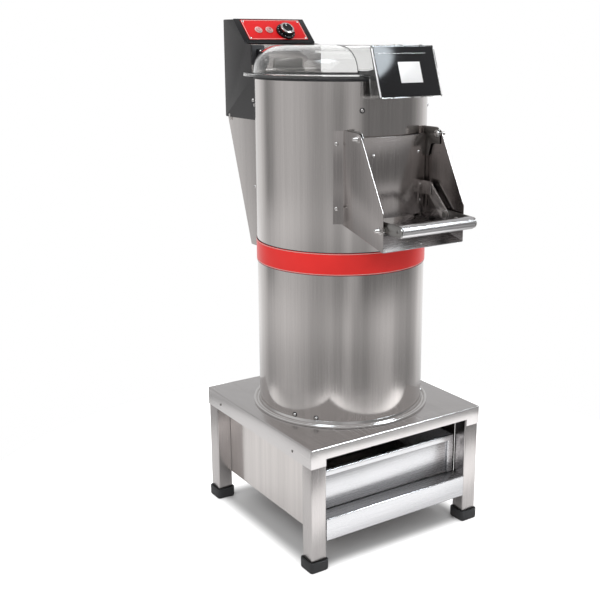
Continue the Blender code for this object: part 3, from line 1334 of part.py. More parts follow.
def slope_point(down, depth):
    """A (y, z) point of the control panel: down its slope from the top edge, and depth under its face."""
    y, z = PANEL_TOP_EDGE
    along = (-math.cos(PANEL_SLOPE), -math.sin(PANEL_SLOPE))
    inwards = (math.sin(PANEL_SLOPE), -math.cos(PANEL_SLOPE))
    return y + along[0] * down + inwards[0] * depth, z + along[1] * down + inwards[1] * depth


def make_control_box():
    """The dark housing behind the drum, open at its front and its sloping panel, and its stainless front wall."""
    under_panel = PANEL_THICK + FIT
    top_front = slope_point(0, under_panel)
    low_front = slope_point(PANEL_LENGTH, under_panel)
    root = DRUM_RADIUS / 2
    outline = [
        top_front,
        (BOX_BACK, top_front[1]),
        (BOX_BACK, BOX_BOTTOM),
        (root, BOX_BOTTOM),
        (root, BOX_STEP),
        (BOX_FRONT, BOX_STEP),
        (BOX_FRONT, BOX_BROW),
        low_front,
    ]
    box = plate("control_box", [outline], 2 * BOX_HALF_WIDTH, DARK_PAINT)
    inner_top = top_front[1] - BOX_WALL
    hollow = [
        (root - OVERRUN, inner_top),
        (BOX_BACK - BOX_WALL, inner_top),
        (BOX_BACK - BOX_WALL, BOX_BOTTOM + BOX_WALL),
        (root - OVERRUN, BOX_BOTTOM + BOX_WALL),
    ]
    inside = plate("control_box_inside", [hollow], 2 * (BOX_HALF_WIDTH - BOX_WALL))
    drum = drum_cutter("control_box_drum", DRUM_OUTSIDE, BOX_BOTTOM - OVERRUN, BOX_STEP + OVERRUN)
    pipe = rod(
        "box_pipe_hole",
        PIPE_RADIUS + PIPE_HOLE_GAP,
        BOX_BOTTOM - OVERRUN,
        BOX_BOTTOM + OVERRUN,
        at=(PIPE_X, PIPE_Y, 0),
    )
    cut(box, inside, drum, pipe)
    brow = slope_point(PANEL_LENGTH, under_panel + FIT)
    line = [(root, BOX_STEP), (BOX_FRONT, BOX_STEP), (BOX_FRONT, BOX_BROW), brow]
    wall = folded("box_front_wall", line, BOX_HALF_WIDTH - BOX_WALL - FIT, SHEET, BRUSHED)
    gasket_way = drum_cutter(
        "front_wall_gasket", GASKET_OUTER_RADIUS + FIT, BOX_STEP - OVERRUN, BOX_STEP + OVERRUN
    )
    cut(wall, gasket_way)


def make_panel():
    """Black panel plate, red face, timer knob and two push buttons, all on the slope's own axes."""
    slope = joint_at("panel_slope", (0, *PANEL_TOP_EDGE), (PANEL_SLOPE, 0, 0))

    def on_slope(obj, x=0, down=0, height=0):
        obj.parent = slope
        obj.location = (x, -down, height)
        return obj

    frame = on_slope(
        block(
            "panel_frame",
            (-BOX_HALF_WIDTH, -PANEL_LENGTH, -PANEL_THICK),
            (BOX_HALF_WIDTH, 0, 0),
            BLACK_PANEL,
        ),
        0,
        PANEL_LENGTH / 2,
        -PANEL_THICK / 2,
    )
    face_bottom = FACE_MARGIN + FACE_LENGTH
    face = on_slope(
        block(
            "panel_face",
            (-FACE_HALF_WIDTH, -face_bottom, FIT),
            (FACE_HALF_WIDTH, -FACE_MARGIN, FIT + FACE_THICK),
            RED_FILM,
        ),
        0,
        FACE_MARGIN + FACE_LENGTH / 2,
        FIT + FACE_THICK / 2,
    )
    face_top = FIT + FACE_THICK
    knob_down = FACE_MARGIN + KNOB_DOWN
    button_down = FACE_MARGIN + BUTTON_DOWN
    on_slope(make_knob(), KNOB_X, knob_down, face_top + FIT)
    for name, x in (("start_button", START_X), ("stop_button", STOP_X)):
        on_slope(push_button(name), x, button_down, face_top + FIT)
        bezel = ring(f"{name}_bezel", BEZEL_RADIUS, BUTTON_RADIUS + FIT, -WELD_LAP, BEZEL_HEIGHT, steps=SMALL_STEPS)
        unite(face, on_slope(bezel, x, button_down, face_top))
        for target, part in (("face", face), ("frame", frame)):
            hole = rod(f"{name}_{target}_hole", BUTTON_RADIUS + FIT, -OVERRUN, OVERRUN, steps=SMALL_STEPS)
            cut(part, on_slope(hole, x, button_down, 0))


def make_knob():
    """A ribbed cap on a wide skirt."""
    skirt_top, top = KNOB_SKIRT_HEIGHT, KNOB_HEIGHT
    profile = [
        (0, top),
        (KNOB_CAP_RADIUS - KNOB_EDGE, top),
        (KNOB_CAP_RADIUS, top - KNOB_EDGE),
        (KNOB_CAP_FOOT_RADIUS, skirt_top),
        (KNOB_SKIRT_RADIUS - KNOB_EDGE, skirt_top),
        (KNOB_SKIRT_RADIUS, skirt_top - KNOB_EDGE),
        (KNOB_SKIRT_RADIUS, 0),
        (0, 0),
    ]
    knob = turned("timer_knob", profile, BLACK_PANEL, steps=MEDIUM_STEPS)
    for i in range(KNOB_RIBS):
        turn = 2 * math.pi * i / KNOB_RIBS
        at = (KNOB_CAP_RADIUS * math.cos(turn), KNOB_CAP_RADIUS * math.sin(turn), 0)
        rib_top = top - 2 * KNOB_EDGE
        rib = rod(f"knob_rib_{i + 1}", KNOB_RIB_RADIUS, skirt_top - KNOB_EDGE, rib_top, steps=RIB_STEPS, at=at)
        rib.parent = knob
        unite(knob, rib)
    return knob


def push_button(name):
    """A short plunger with a rounded head, its stem behind the panel."""
    head = BUTTON_RADIUS - FIT
    profile = [
        (0, BUTTON_HEIGHT),
        (head - BUTTON_EDGE, BUTTON_HEIGHT),
        (head, BUTTON_HEIGHT - BUTTON_EDGE),
        (head, -BUTTON_STEM),
        (0, -BUTTON_STEM),
    ]
    return turned(name, profile, PALE_PLASTIC, steps=SMALL_STEPS)


def make_rear_cover():
    """The tapered stainless cover between the control box and the seam, with the cable gland in its bottom."""
    root = DRUM_RADIUS / 2
    outline = [
        (COVER_BACK_TOP, COVER_TOP),
        (COVER_BACK_BOTTOM, COVER_BOTTOM),
        (root, COVER_BOTTOM),
        (root, COVER_TOP),
    ]
    cover = plate("rear_cover", [outline], 2 * COVER_HALF_WIDTH, BRUSHED)
    taper = (COVER_BACK_TOP - COVER_BACK_BOTTOM) / (COVER_TOP - COVER_BOTTOM)
    wall = SHEET * math.hypot(1, taper)
    hollow = [
        (COVER_BACK_TOP - wall + taper * OVERRUN, COVER_TOP + OVERRUN),
        (COVER_BACK_BOTTOM - wall + taper * SHEET, COVER_BOTTOM + SHEET),
        (root - OVERRUN, COVER_BOTTOM + SHEET),
        (root - OVERRUN, COVER_TOP + OVERRUN),
    ]
    inside = plate("rear_cover_inside", [hollow], 2 * (COVER_HALF_WIDTH - SHEET))
    band_side = DRUM_OUTSIDE + BAND_THICK + FIT
    drum = drum_cutter("rear_cover_drum", DRUM_OUTSIDE, BAND_BOTTOM - OVERRUN, COVER_TOP + OVERRUN)
    band = drum_cutter("rear_cover_band", band_side, BAND_BOTTOM - OVERRUN, BAND_BOTTOM + BAND_HEIGHT + FIT)
    holes = [
        rod("gland_hole", GLAND_NECK_RADIUS + FIT, -OVERRUN, OVERRUN, at=(GLAND_X, GLAND_Y, COVER_BOTTOM)),
        rod("cover_pipe_hole", PIPE_RADIUS + PIPE_HOLE_GAP, -OVERRUN, OVERRUN, at=(PIPE_X, PIPE_Y, COVER_BOTTOM)),
    ]
    cut(cover, inside, drum, band, *holes)
    turned(
        "cable_gland",
        [
            (GLAND_NECK_RADIUS, SHEET + GLAND_NECK_RISE),
            (GLAND_NECK_RADIUS, -FIT),
            (GLAND_RADIUS, -FIT),
            (GLAND_RADIUS, -GLAND_NUT_HEIGHT),
            (GLAND_NECK_RADIUS, -GLAND_LENGTH),
            (GLAND_BORE_RADIUS, -GLAND_LENGTH),
            (GLAND_BORE_RADIUS, SHEET + GLAND_NECK_RISE),
        ],
        BLACK_RUBBER,
        at=(GLAND_X, GLAND_Y, COVER_BOTTOM),
        steps=PIN_STEPS,
    )


def pipe_curve(name, radius, extra):
    """The pipe's line, up inside the cover and forward over a bend through the drum wall, grown at both ends."""
    bend = PIPE_BEND_RADIUS
    points = [(PIPE_X, PIPE_Y, PIPE_BOTTOM - extra)]
    for i in range(ARC_STEPS + 1):
        turn = math.pi / 2 * i / ARC_STEPS
        points.append((PIPE_X, PIPE_Y - bend + bend * math.cos(turn), PIPE_LEVEL - bend + bend * math.sin(turn)))
    points.append((PIPE_X, PIPE_END - extra, PIPE_LEVEL))
    curve = bpy.data.curves.new(name, "CURVE")
    curve.dimensions = "3D"
    curve.bevel_depth = radius
    curve.bevel_resolution = 2
    curve.use_fill_caps = True
    spline = curve.splines.new("POLY")
    spline.points.add(len(points) - 1)
    for point, place_at in zip(spline.points, points):
        point.co = (*place_at, 1)
    return curve_to_mesh(name, curve)


def make_water_pipe():
    pipe = place(pipe_curve("water_pipe", PIPE_RADIUS, 0), BRIGHT, (0, 0, 0))
    cut(pipe, place(pipe_curve("water_pipe_bore", PIPE_BORE_RADIUS, OVERRUN), BRIGHT, (0, 0, 0)))


def settle_shapes():
    """Gives each piece its final mesh, with round faces shaded smooth and true edges kept sharp."""
    graph = bpy.context.evaluated_depsgraph_get()
    settled = [
        (obj, bpy.data.meshes.new_from_object(obj.evaluated_get(graph)))
        for obj in PARTS.objects
        if obj.data
    ]
    for obj, mesh in settled:
        obj.modifiers.clear()
        obj.data = mesh
        mesh.name = obj.name
        mesh.shade_smooth()
        mesh.set_sharp_from_angle(angle=SMOOTH_ANGLE)


make_table()
make_legs()
make_basin()
make_drawer()
make_drum()
make_chamber_floor()
make_spindle()
make_drive()
make_chute()
make_door()
make_handle()
make_lid()
make_control_box()
make_panel()
make_rear_cover()
make_water_pipe()
settle_shapes()
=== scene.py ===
import json
import math

import bmesh
import bpy
from mathutils import Matrix, Vector


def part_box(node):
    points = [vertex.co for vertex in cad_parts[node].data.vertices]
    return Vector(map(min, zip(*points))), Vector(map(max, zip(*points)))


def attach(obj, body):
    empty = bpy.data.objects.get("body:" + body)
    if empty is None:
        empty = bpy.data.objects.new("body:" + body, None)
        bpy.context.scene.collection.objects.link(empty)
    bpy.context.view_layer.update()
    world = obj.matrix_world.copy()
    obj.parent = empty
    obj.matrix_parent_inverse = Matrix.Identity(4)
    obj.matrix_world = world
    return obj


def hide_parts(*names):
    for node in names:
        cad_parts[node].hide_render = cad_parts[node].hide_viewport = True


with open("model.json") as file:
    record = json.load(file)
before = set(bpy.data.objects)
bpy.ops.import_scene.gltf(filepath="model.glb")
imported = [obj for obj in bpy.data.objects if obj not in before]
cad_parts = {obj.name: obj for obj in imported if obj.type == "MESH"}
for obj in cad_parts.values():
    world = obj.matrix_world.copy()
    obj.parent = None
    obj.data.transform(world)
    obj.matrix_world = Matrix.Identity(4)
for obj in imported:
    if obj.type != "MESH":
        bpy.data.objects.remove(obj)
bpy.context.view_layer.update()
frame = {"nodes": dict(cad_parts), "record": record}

NODES = frame["nodes"]

# Camera
CAMERA_PLACE = (-1.3019, -1.8906, 1.1697)
CAMERA_TARGET = (-0.07568, -0.06524, 0.600)
CAMERA_LENS = 58.29
CAMERA_SHIFT = (-0.0494, -0.0111)

# Studio
FLOOR_RADIUS = 1.0
FLOOR_GREY, FLOOR_FAR_GREY = 0.60, 0.40
FLOOR_FADE_START, FLOOR_FADE_END = 0.45, 0.90
# How brightly metal sees the floor glow, and more brightly in front of the stand: painted light that only reflections
# show
FLOOR_MIRRORED, FRONT_GLOW_MIRRORED = 0.30, 0.92
FRONT_GLOW_START, FRONT_GLOW_END = -0.30, -0.42
FRONT_GLOW_FADE_START, FRONT_GLOW_FADE_END = 0.70, 0.88
FLOOR_GLOW_START, FLOOR_GLOW_END = 0.205, 0.270
WORLD_FILL = 0.50
LAMPS = {
    "lamp_left": ((-2.7, -1.2, 3.6), (2.6, 2.6), 62),
    "lamp_front": ((1.0, -3.3, 3.4), (2.8, 2.4), 58),
    "lamp_top": ((0.2, 0.2, 4.0), (3.0, 3.0), 60),
    "lamp_back": ((1.5, 3.0, 3.4), (2.6, 2.6), 40),
}
LAMP_TARGET = (0, 0, 0.6)
# What polished metal mirrors: brightness by compass angle from +X in degrees, at eye level and lower down
RING_HIGH = (
    (-180, 0.60), (-165, 0.45), (-155, 0.40), (-145, 0.45), (-125, 0.30), (-112, 0.50), (-103, 0.45), (-93, 0.20),
    (-20, 0.20), (0, 0.45), (18, 0.80), (30, 0.90), (100, 0.85), (111, 0.60), (120, 0.28), (131, 0.35),
    (145, 0.60), (165, 0.65), (180, 0.60),
)
RING_LOW = (
    (-180, 0.70), (-165, 0.50), (-155, 0.48), (-140, 0.57), (-125, 0.45), (-115, 0.70), (-105, 0.45),
    (-90, 0.45), (-65, 0.72), (-50, 0.75), (-40, 0.52), (-15, 0.43), (0, 0.60), (12, 0.90), (30, 1.00),
    (90, 1.00), (108, 0.72), (120, 0.58), (150, 0.78), (165, 0.80), (180, 0.70),
)
RING_HIGH_END, RING_LOW_START = math.radians(-9), math.radians(-14)
RING_DIM = 0.32
DIM_START, DIM_END = math.radians(-15), math.radians(-21)
CEILING = 0.58
CEILING_START, CEILING_END = math.radians(4), math.radians(10)
# Soft boxes in the same mirror: compass angle, height, half width and soft edge in degrees, brightness
SOFT_BOXES = ((-54, 37, 11.3, 1.5, 20), (-151, 52, 9, 4, 10))
# The background counts the camera's own ray as one, so the first mirror's ray is the second
FIRST_MIRROR_DEPTH = 2.5
GLASS_SEES_STUDIO = 0.5

# Smoothness
DRUM_STEPS = 192
ROUND_STEPS = 96
PIN_STEPS = 32
CORNER_STEPS = 6
FINE_EDGE = 0.0004
NEAR_ZERO = 1e-6
OVERRUN = 0.02
FIT = 0.0003
SHEET = 0.0015

# Stand
HALF_TABLE = 0.245
TABLE_HEIGHT = 0.300
TABLE_BEND = 0.003
APRON_DEPTH = 0.045
APRON_FRONT_DEPTH = 0.028
NOTCH_HALF = 0.205
LEG_WALL = 0.0018
LEG_ROUND = 0.004
FOOT_RIM = 0.0047
FOOT_POCKET = 0.0187
FOOT_ROUND = 0.009
FOOT_CHAMFER = 0.006
RAIL_LIP = 0.015
RAIL_BEND = 0.0025
DRAWER_SHEET = 0.0012
DRAWER_RIM_TOP = 0.014
DRAWER_RIM_SIDE = 0.017
DRAWER_RIM_DEPTH = 0.004
DRAWER_FLOOR_RIM = 0.022
STAND_SCREW_LEVEL, STAND_SCREW_X, STAND_SCREW_Y = 0.272, 0.17, (0.178, -0.167)

# Drum
DRUM_RADIUS = 0.200
DRUM_WALL = 0.0018
DRUM_OUTSIDE = DRUM_RADIUS + FIT
WINDOW_HALF = 0.088
WINDOW_BOTTOM = 0.797
WINDOW_TOP = 0.952
WINDOW_ROUND = 0.014
PIPE_X, PIPE_Y, PIPE_LEVEL, PIPE_RADIUS = 0.050, 0.228, 1.035, 0.010
PIPE_BEND = 0.030
LINER_THICK = 0.005
BEAD_REACH = 0.015
BEAD_HEIGHT = 0.012
BEAD_ROLL, BEAD_ROLL_BACK, BEAD_ROLL_ROUND = 0.0062, 0.0066, 0.0030
BEAD_COVE = 0.0024
BAND_LINE, BAND_LINE_INSET = 0.0011, 0.0012
LOW_SCREW_LEVEL, LOW_SCREW_ANGLES = 0.3175, (-156.6, -140.7, -33.9, -16.0, 68.0, 112.0)
HIGH_SCREW_LEVEL, HIGH_SCREW_ANGLES = 1.020, (-111.4, -33.9, 45.0, 150.0)
# The black rings under the drum screws' heads
DARK_RING_INNER, DARK_RING_OUTER, DARK_RING_THICK = 0.0036, 0.0060, 0.0008
DISC_TOP, DISC_RIM, DISC_DISH = 0.789, 0.012, 0.004
HUB_RADIUS, HUB_BORE, HUB_DROP, HUB_BORE_DROP = 0.030, 0.0128, 0.044, 0.024
WAVES = 3
WAVE_RADIUS, WAVE_START, WAVE_LENGTH = 0.018, 0.034, 0.140

# Chute, door and handle
CHUTE_INSIDE, CHUTE_OUTSIDE = 0.1085, 0.110
CHUTE_LIP, CHUTE_FRONT, CHUTE_ROOT = 0.736, 0.314, 0.160
CHUTE_OUTLINE = (
    (-CHUTE_ROOT, 0.9795), (-0.2305, 0.9755, 0.009), (-CHUTE_FRONT, 0.818, 0.003),
    (-CHUTE_FRONT, CHUTE_LIP, 0.002), (-0.1840, 0.7695, 0.002), (-CHUTE_ROOT, 0.775),
)
CHUTE_FLOOR_RISE = 0.0397
FLANGE_LOW, FLANGE_HIGH, FLANGE_TURN = 0.775, 0.978, math.radians(6.5)
DOOR_INNER, DOOR_OUTER = 0.212, 0.2135
DOOR_LOW, DOOR_HIGH, DOOR_HALF_TURN = 0.787, 0.964, math.radians(29.1)
FLANGE_BOLT_TURN, FLANGE_BOLT_LEVELS = 37.3, (0.950, 0.810)
TROUGH_SCREW_X, TROUGH_SCREW_SHARE = 0.006, 0.10
UPPER_DOOR_BOLTS = ((-0.057, 0.924), (0.070, 0.926))
EAR_BOLT_X, EAR_BOLT_LEVELS = 0.0795, (0.853, 0.817)
SEAL_EDGE = 0.006
DOOR_PIVOT = (-0.224, 0.965)
HANDLE_PIVOT = (-0.304, 0.783)
LINK_PIVOT = (-0.268, 0.790)
EAR_PIVOT = (-0.211, 0.845)
BAR_CENTRE = (-0.3542, 0.7865)
BAR_RADIUS, BAR_HALF = 0.0137, 0.0982
LUG_OUTLINE = (
    (-0.1780, 0.980, 0.003), (-0.2320, 0.980, 0.010), (-0.2320, 0.943, 0.003), (-0.2035, 0.943, 0.006),
    (-0.1945, 0.915), (-0.1825, 0.915), (-0.1825, 0.962), (-0.1780, 0.962, 0.002),
)
LUG_INNER, LUG_OUTER = 0.1030, 0.1055
EAR_INNER, EAR_OUTER = 0.0905, 0.0935
EAR_ROOT, EAR_RISE, EAR_REACH = 0.18594, 0.015, 0.011
EAR_FOOT_WIDE, EAR_FOOT_DROP, EAR_FOOT_THICK = 0.018, 0.038, 0.0016
LINK_INNER, LINK_OUTER, LINK_HALF = 0.0945, 0.0975, 0.0125
ARM_INNER, ARM_OUTER, ARM_HALF = 0.0985, 0.1015, 0.012
PIVOT_RADIUS = 0.004
PIVOT_BORE = 0.0046
SLOT_RUN = 0.0044

# Round heads of screws and bolts: radius and height
HEAD_SIZES = {
    "stand_screw": (0.0034, 0.0015), "drum_screw": (0.0042, 0.0032), "flange_bolt": (0.0046, 0.0034),
    "trough_screw": (0.0032, 0.0014), "door_bolt": (0.0040, 0.0028), "bar_screw": (0.005, 0.0024),
    "lid_screw": (0.0034, 0.0018), "plunger": (0.0045, 0.0035), "switch_screw": (0.0022, 0.001),
    "box_bolt": (0.0048, 0.0036), "back_screw": (0.0046, 0.0011), "face_screw": (0.0030, 0.0014),
}
NUT_RADIUS, NUT_HEIGHT, STUD_TAIL, THREAD_PITCH = 0.0076, 0.0046, 0.0145, 0.0009
SLEEVE_BORE, SLEEVE_OUTSIDE = 0.0038, 0.0072
STUD_HEAD, STUD_CROWN, STUD_CROWN_TOP, STUD_HEAD_THICK = 0.0085, 0.0050, 0.0043, 0.0018
PIN_HEAD, PIN_HEAD_THICK = 0.007, 0.0023

# Lid
LID_WALL = 0.003
LID_TOP, FLANGE_TOP, LIP_LEVEL = 1.155, 1.095, 1.087
LID_FLANGE_RADIUS = 0.225
DOME_FOOT, DOME_FLAT, DOME_POWER = 0.203, 0.135, 2.2
DOME_STEPS = 16
HOOD_HALF = 0.084
HOOD_TOP_FRONT = (-0.228, 1.155)
HOOD_BOTTOM_FRONT = (-0.2647, 1.049)
HOOD_RAKE = math.atan2(0.0367, 0.106)
HOOD_LENGTH = math.hypot(0.0367, 0.106)
HOOD_SKIRT = 0.039
HOOD_ROUND = 0.005
PLATE_HALF, PLATE_START, PLATE_HEIGHT, PLATE_THICK = 0.0789, 0.0026, 0.1069, 0.003
LABEL_CORNERS = ((-0.022, -0.0355), (0.036, -0.0355), (0.036, -0.0805), (-0.022, -0.0805))
CREASE_DOWN, CREASE_RADIUS, CREASE_SHARE = 0.0145, 0.0005, 0.72
TRIM_GAP, TRIM_DEPTH, TRIM_TOP = 0.0012, 0.0020, 0.0050
INSERT_LOW, INSERT_HIGH = (0.0810, -0.050, -0.0010), (0.0828, -0.008, 0.0008)
LID_SCREW_X, LID_SCREW_Y = (-0.012, 0.060), -0.214
SEAM_RADIUS = 0.0009
GASKET_INNER, GASKET_OUTER = 0.1935, 0.2035
GASKET_BOTTOM, GASKET_FLAP, DRUM_TOP = 1.076, 1.0808, 1.084
HINGE_AXIS = (0, 0.232, 1.104)
KNUCKLE_RADIUS, BRACKET_HALF, LEAF_HALF, HINGE_PIN_HALF = 0.007, 0.043, 0.075, 0.0765
SWITCH_MOUNT_LOW, SWITCH_MOUNT_HIGH = (-0.0996, 0.2384, 1.1060), (-0.0645, 0.2399, 1.1535)

# Control box
BOX_HALF = 0.102
BOX_WALL = 0.0015
BOX_BACK, BOX_TOP, BOX_STEP, BOX_BOTTOM = 0.3788, 1.21536, 1.0755, 0.974
BOX_OUTLINE = (
    (0.32761, BOX_TOP, 0.0008), (BOX_BACK, BOX_TOP, 0.003), (BOX_BACK, BOX_BOTTOM, 0.003), (0.100, BOX_BOTTOM),
    (0.100, BOX_STEP), (0.240, BOX_STEP), (0.240, 1.1545, 0.001), (0.26902, 1.15798),
)
BOX_BOLT, COVER_BOLTS = (0.233, 1.022), ((0.233, 0.808), (0.218, 0.690))
BACK_SCREW_X, BACK_SCREW_LEVELS = 0.085, (0.995, 1.195)
TAB_LOW, TAB_HIGH = (0.1022, 0.352, 0.966), (0.1030, 0.360, 0.982)
PANEL_EDGE = (0, 0.326, 1.217)
PANEL_SLOPE = math.radians(44.4)
PANEL_LENGTH, PANEL_THICK = 0.082, 0.002
FACE_HALF, FACE_MARGIN, FACE_LENGTH, FACE_THICK = 0.0856, 0.005, 0.068, 0.001
FACE_TOP = FIT + FACE_THICK
FACE_SCREW_X, FACE_SCREWS_DOWN = 0.0800, (0.0055, 0.0625)
BORDER_INSET, BORDER_WIDE, BORDER_THICK = 0.0016, 0.0009, 0.0001
KNOB_PLACE = (0.028, 0.048)
KNOB_SKIRT = (
    (0, 0), (0.025, 0, 0.0004), (0.025, 0.0045, 0.001), (0.0235, 0.006, 0.0008), (0.0190, 0.006),
    (0.0188, 0.005), (0, 0.005),
)
KNOB_CAP = (
    (0, 0.0045), (0.0184, 0.0045), (0.0172, 0.0145, 0.001), (0.0138, 0.0158, 0.0006), (0.0130, 0.0150, 0.0004),
    (0, 0.0146),
)
KNOB_RING = ((0.0132, 0.0146), (0.0180, 0.0134, 0.0004), (0.0180, 0.0156, 0.0009), (0.0135, 0.0170, 0.0005))
KNOB_RIB_RADIUS, KNOB_RIB_FOOT, KNOB_RIB_TOP, KNOB_RIBS = 0.0014, (0.0173, 0, 0.0055), (0.0167, 0, 0.0132), 18
TICK_LOW, TICK_HIGH = (-0.00035, 0.0205, 0.0058), (0.00035, 0.0230, 0.0061)
TICKS, FIRST_TICK, TICK_STEP = 13, 150, 25
KNOB_STEPS = 72
BUTTON_DOWN = 0.0415
BUTTONS = {"start": -0.048, "stop": -0.017}
BUTTON_RADIUS = 0.0075
BUTTON_HEIGHT = 0.0055
BEZEL_RADIUS = 0.0098
COVER_HALF = 0.1005
GLAND_X, GLAND_RADIUS, GLAND_BORE = -0.045, 0.008, 0.0045
PIPE_WALL, PIPE_CLEARANCE = 0.0025, 0.0007
COVER_OUTLINE = ((0.370, 0.9737), (0.260, 0.657), (0.100, 0.657), (0.100, 0.9737))


# Studio


def look_at(thing, target):
    thing.rotation_euler = (Vector(target) - thing.location).to_track_quat("-Z", "Y").to_euler()


def make_camera():
    bpy.ops.object.camera_add(location=CAMERA_PLACE)
    camera = bpy.context.object
    camera.name = "camera"
    look_at(camera, CAMERA_TARGET)
    camera.data.lens = CAMERA_LENS
    camera.data.shift_x, camera.data.shift_y = CAMERA_SHIFT
    camera.data.clip_end = 100
    bpy.context.scene.camera = camera


def make_lamps():
    for name, (place, size, power) in LAMPS.items():
        bpy.ops.object.light_add(type="AREA", location=place)
        lamp = bpy.context.object
        lamp.name = name
        look_at(lamp, LAMP_TARGET)
        lamp.data.shape = "RECTANGLE"
        lamp.data.size, lamp.data.size_y = size
        lamp.data.energy = power
        lamp.visible_glossy = False


def add_node(tree, kind, inputs=None, **settings):
    """A shader node with its settings, and with its sockets set to a value or linked to another node's output."""
    node = tree.nodes.new("ShaderNode" + kind)
    for name, value in settings.items():
        setattr(node, name, value)
    for name, value in (inputs or {}).items():
        if isinstance(value, bpy.types.NodeSocket):
            tree.links.new(value, node.inputs[name])
        else:
            node.inputs[name].default_value = value
    return node


def set_ramp(ramp, stops):
    """Colour stops of (place, brightness or colour)."""
    elements = ramp.color_ramp.elements
    while len(elements) < len(stops):
        elements.new(1.0)
    for element, (place, value) in zip(elements, stops):
        element.position = place
        element.color = (*value, 1) if isinstance(value, tuple) else (value, value, value, 1)


def aimed(compass, height):
    turn, rise = math.radians(compass), math.radians(height)
    return math.cos(turn) * math.cos(rise), math.sin(turn) * math.cos(rise), math.sin(rise)


def blend(tree, share, first, second):
    return add_node(tree, "Mix", {"Factor": share, 6: first, 7: second}, data_type="RGBA").outputs[2]


def ramp_between(tree, value, start, end, low=0.0, high=1.0):
    return add_node(
        tree, "MapRange",
        {"Value": value, "From Min": start, "From Max": end, "To Min": low, "To Max": high},
        interpolation_type="SMOOTHSTEP",
    ).outputs[0]


def make_world():
    """White where the camera looks. Metal and glass see a soft ring of lit and unlit studio wall as well."""
    world = bpy.data.worlds.new("studio")
    bpy.context.scene.world = world
    world.use_nodes = True
    tree = world.node_tree
    direction = add_node(tree, "TexCoord").outputs["Generated"]
    axes = add_node(tree, "SeparateXYZ", {"Vector": direction})
    compass = add_node(
        tree, "Math", {0: axes.outputs["Y"], 1: axes.outputs["X"]}, operation="ARCTAN2"
    ).outputs[0]
    height = add_node(tree, "Math", {0: axes.outputs["Z"]}, operation="ARCSINE").outputs[0]
    round_share = add_node(
        tree, "MapRange", {"Value": compass, "From Min": -math.pi, "From Max": math.pi}
    ).outputs[0]
    rings = []
    for stops in (RING_HIGH, RING_LOW):
        ring_colours = add_node(tree, "ValToRGB", {"Fac": round_share})
        set_ramp(ring_colours, [((angle + 180) / 360, level) for angle, level in stops])
        rings.append(ring_colours.outputs["Color"])
    walls = blend(tree, ramp_between(tree, height, RING_HIGH_END, RING_LOW_START), *rings)
    dim = ramp_between(tree, height, DIM_START, DIM_END, 0.0, RING_DIM)
    walls = blend(tree, dim, walls, (0, 0, 0, 1))
    ceiling_share = ramp_between(tree, height, CEILING_START, CEILING_END)
    room = blend(tree, ceiling_share, walls, (CEILING, CEILING, CEILING, 1))
    lit = room
    path = add_node(tree, "LightPath")
    first_mirror = add_node(
        tree, "Math", {0: path.outputs["Ray Depth"], 1: FIRST_MIRROR_DEPTH}, operation="LESS_THAN"
    ).outputs[0]
    for box_compass, box_height, half_width, edge, power in SOFT_BOXES:
        near = add_node(
            tree, "VectorMath", {0: direction, 1: aimed(box_compass, box_height)}, operation="DOT_PRODUCT"
        ).outputs["Value"]
        outer, inner = (math.cos(math.radians(half_width + side * edge)) for side in (1, -1))
        share = add_node(
            tree, "Math", {0: ramp_between(tree, near, outer, inner), 1: first_mirror}, operation="MULTIPLY"
        ).outputs[0]
        lit = blend(tree, share, lit, (power * 0.86, power * 0.94, power, 1))
    tone = blend(tree, path.outputs["Is Glossy Ray"], (1, 1, 1, 1), lit)
    through = blend(tree, GLASS_SEES_STUDIO, (1, 1, 1, 1), room)
    tone = blend(tree, path.outputs["Is Transmission Ray"], tone, through)
    diffuse = path.outputs["Is Diffuse Ray"]
    strength = add_node(tree, "MapRange", {"Value": diffuse, "To Min": 1.0, "To Max": WORLD_FILL}).outputs[0]
    back = tree.nodes["Background"]
    tree.links.new(tone, back.inputs["Color"])
    tree.links.new(strength, back.inputs["Strength"])


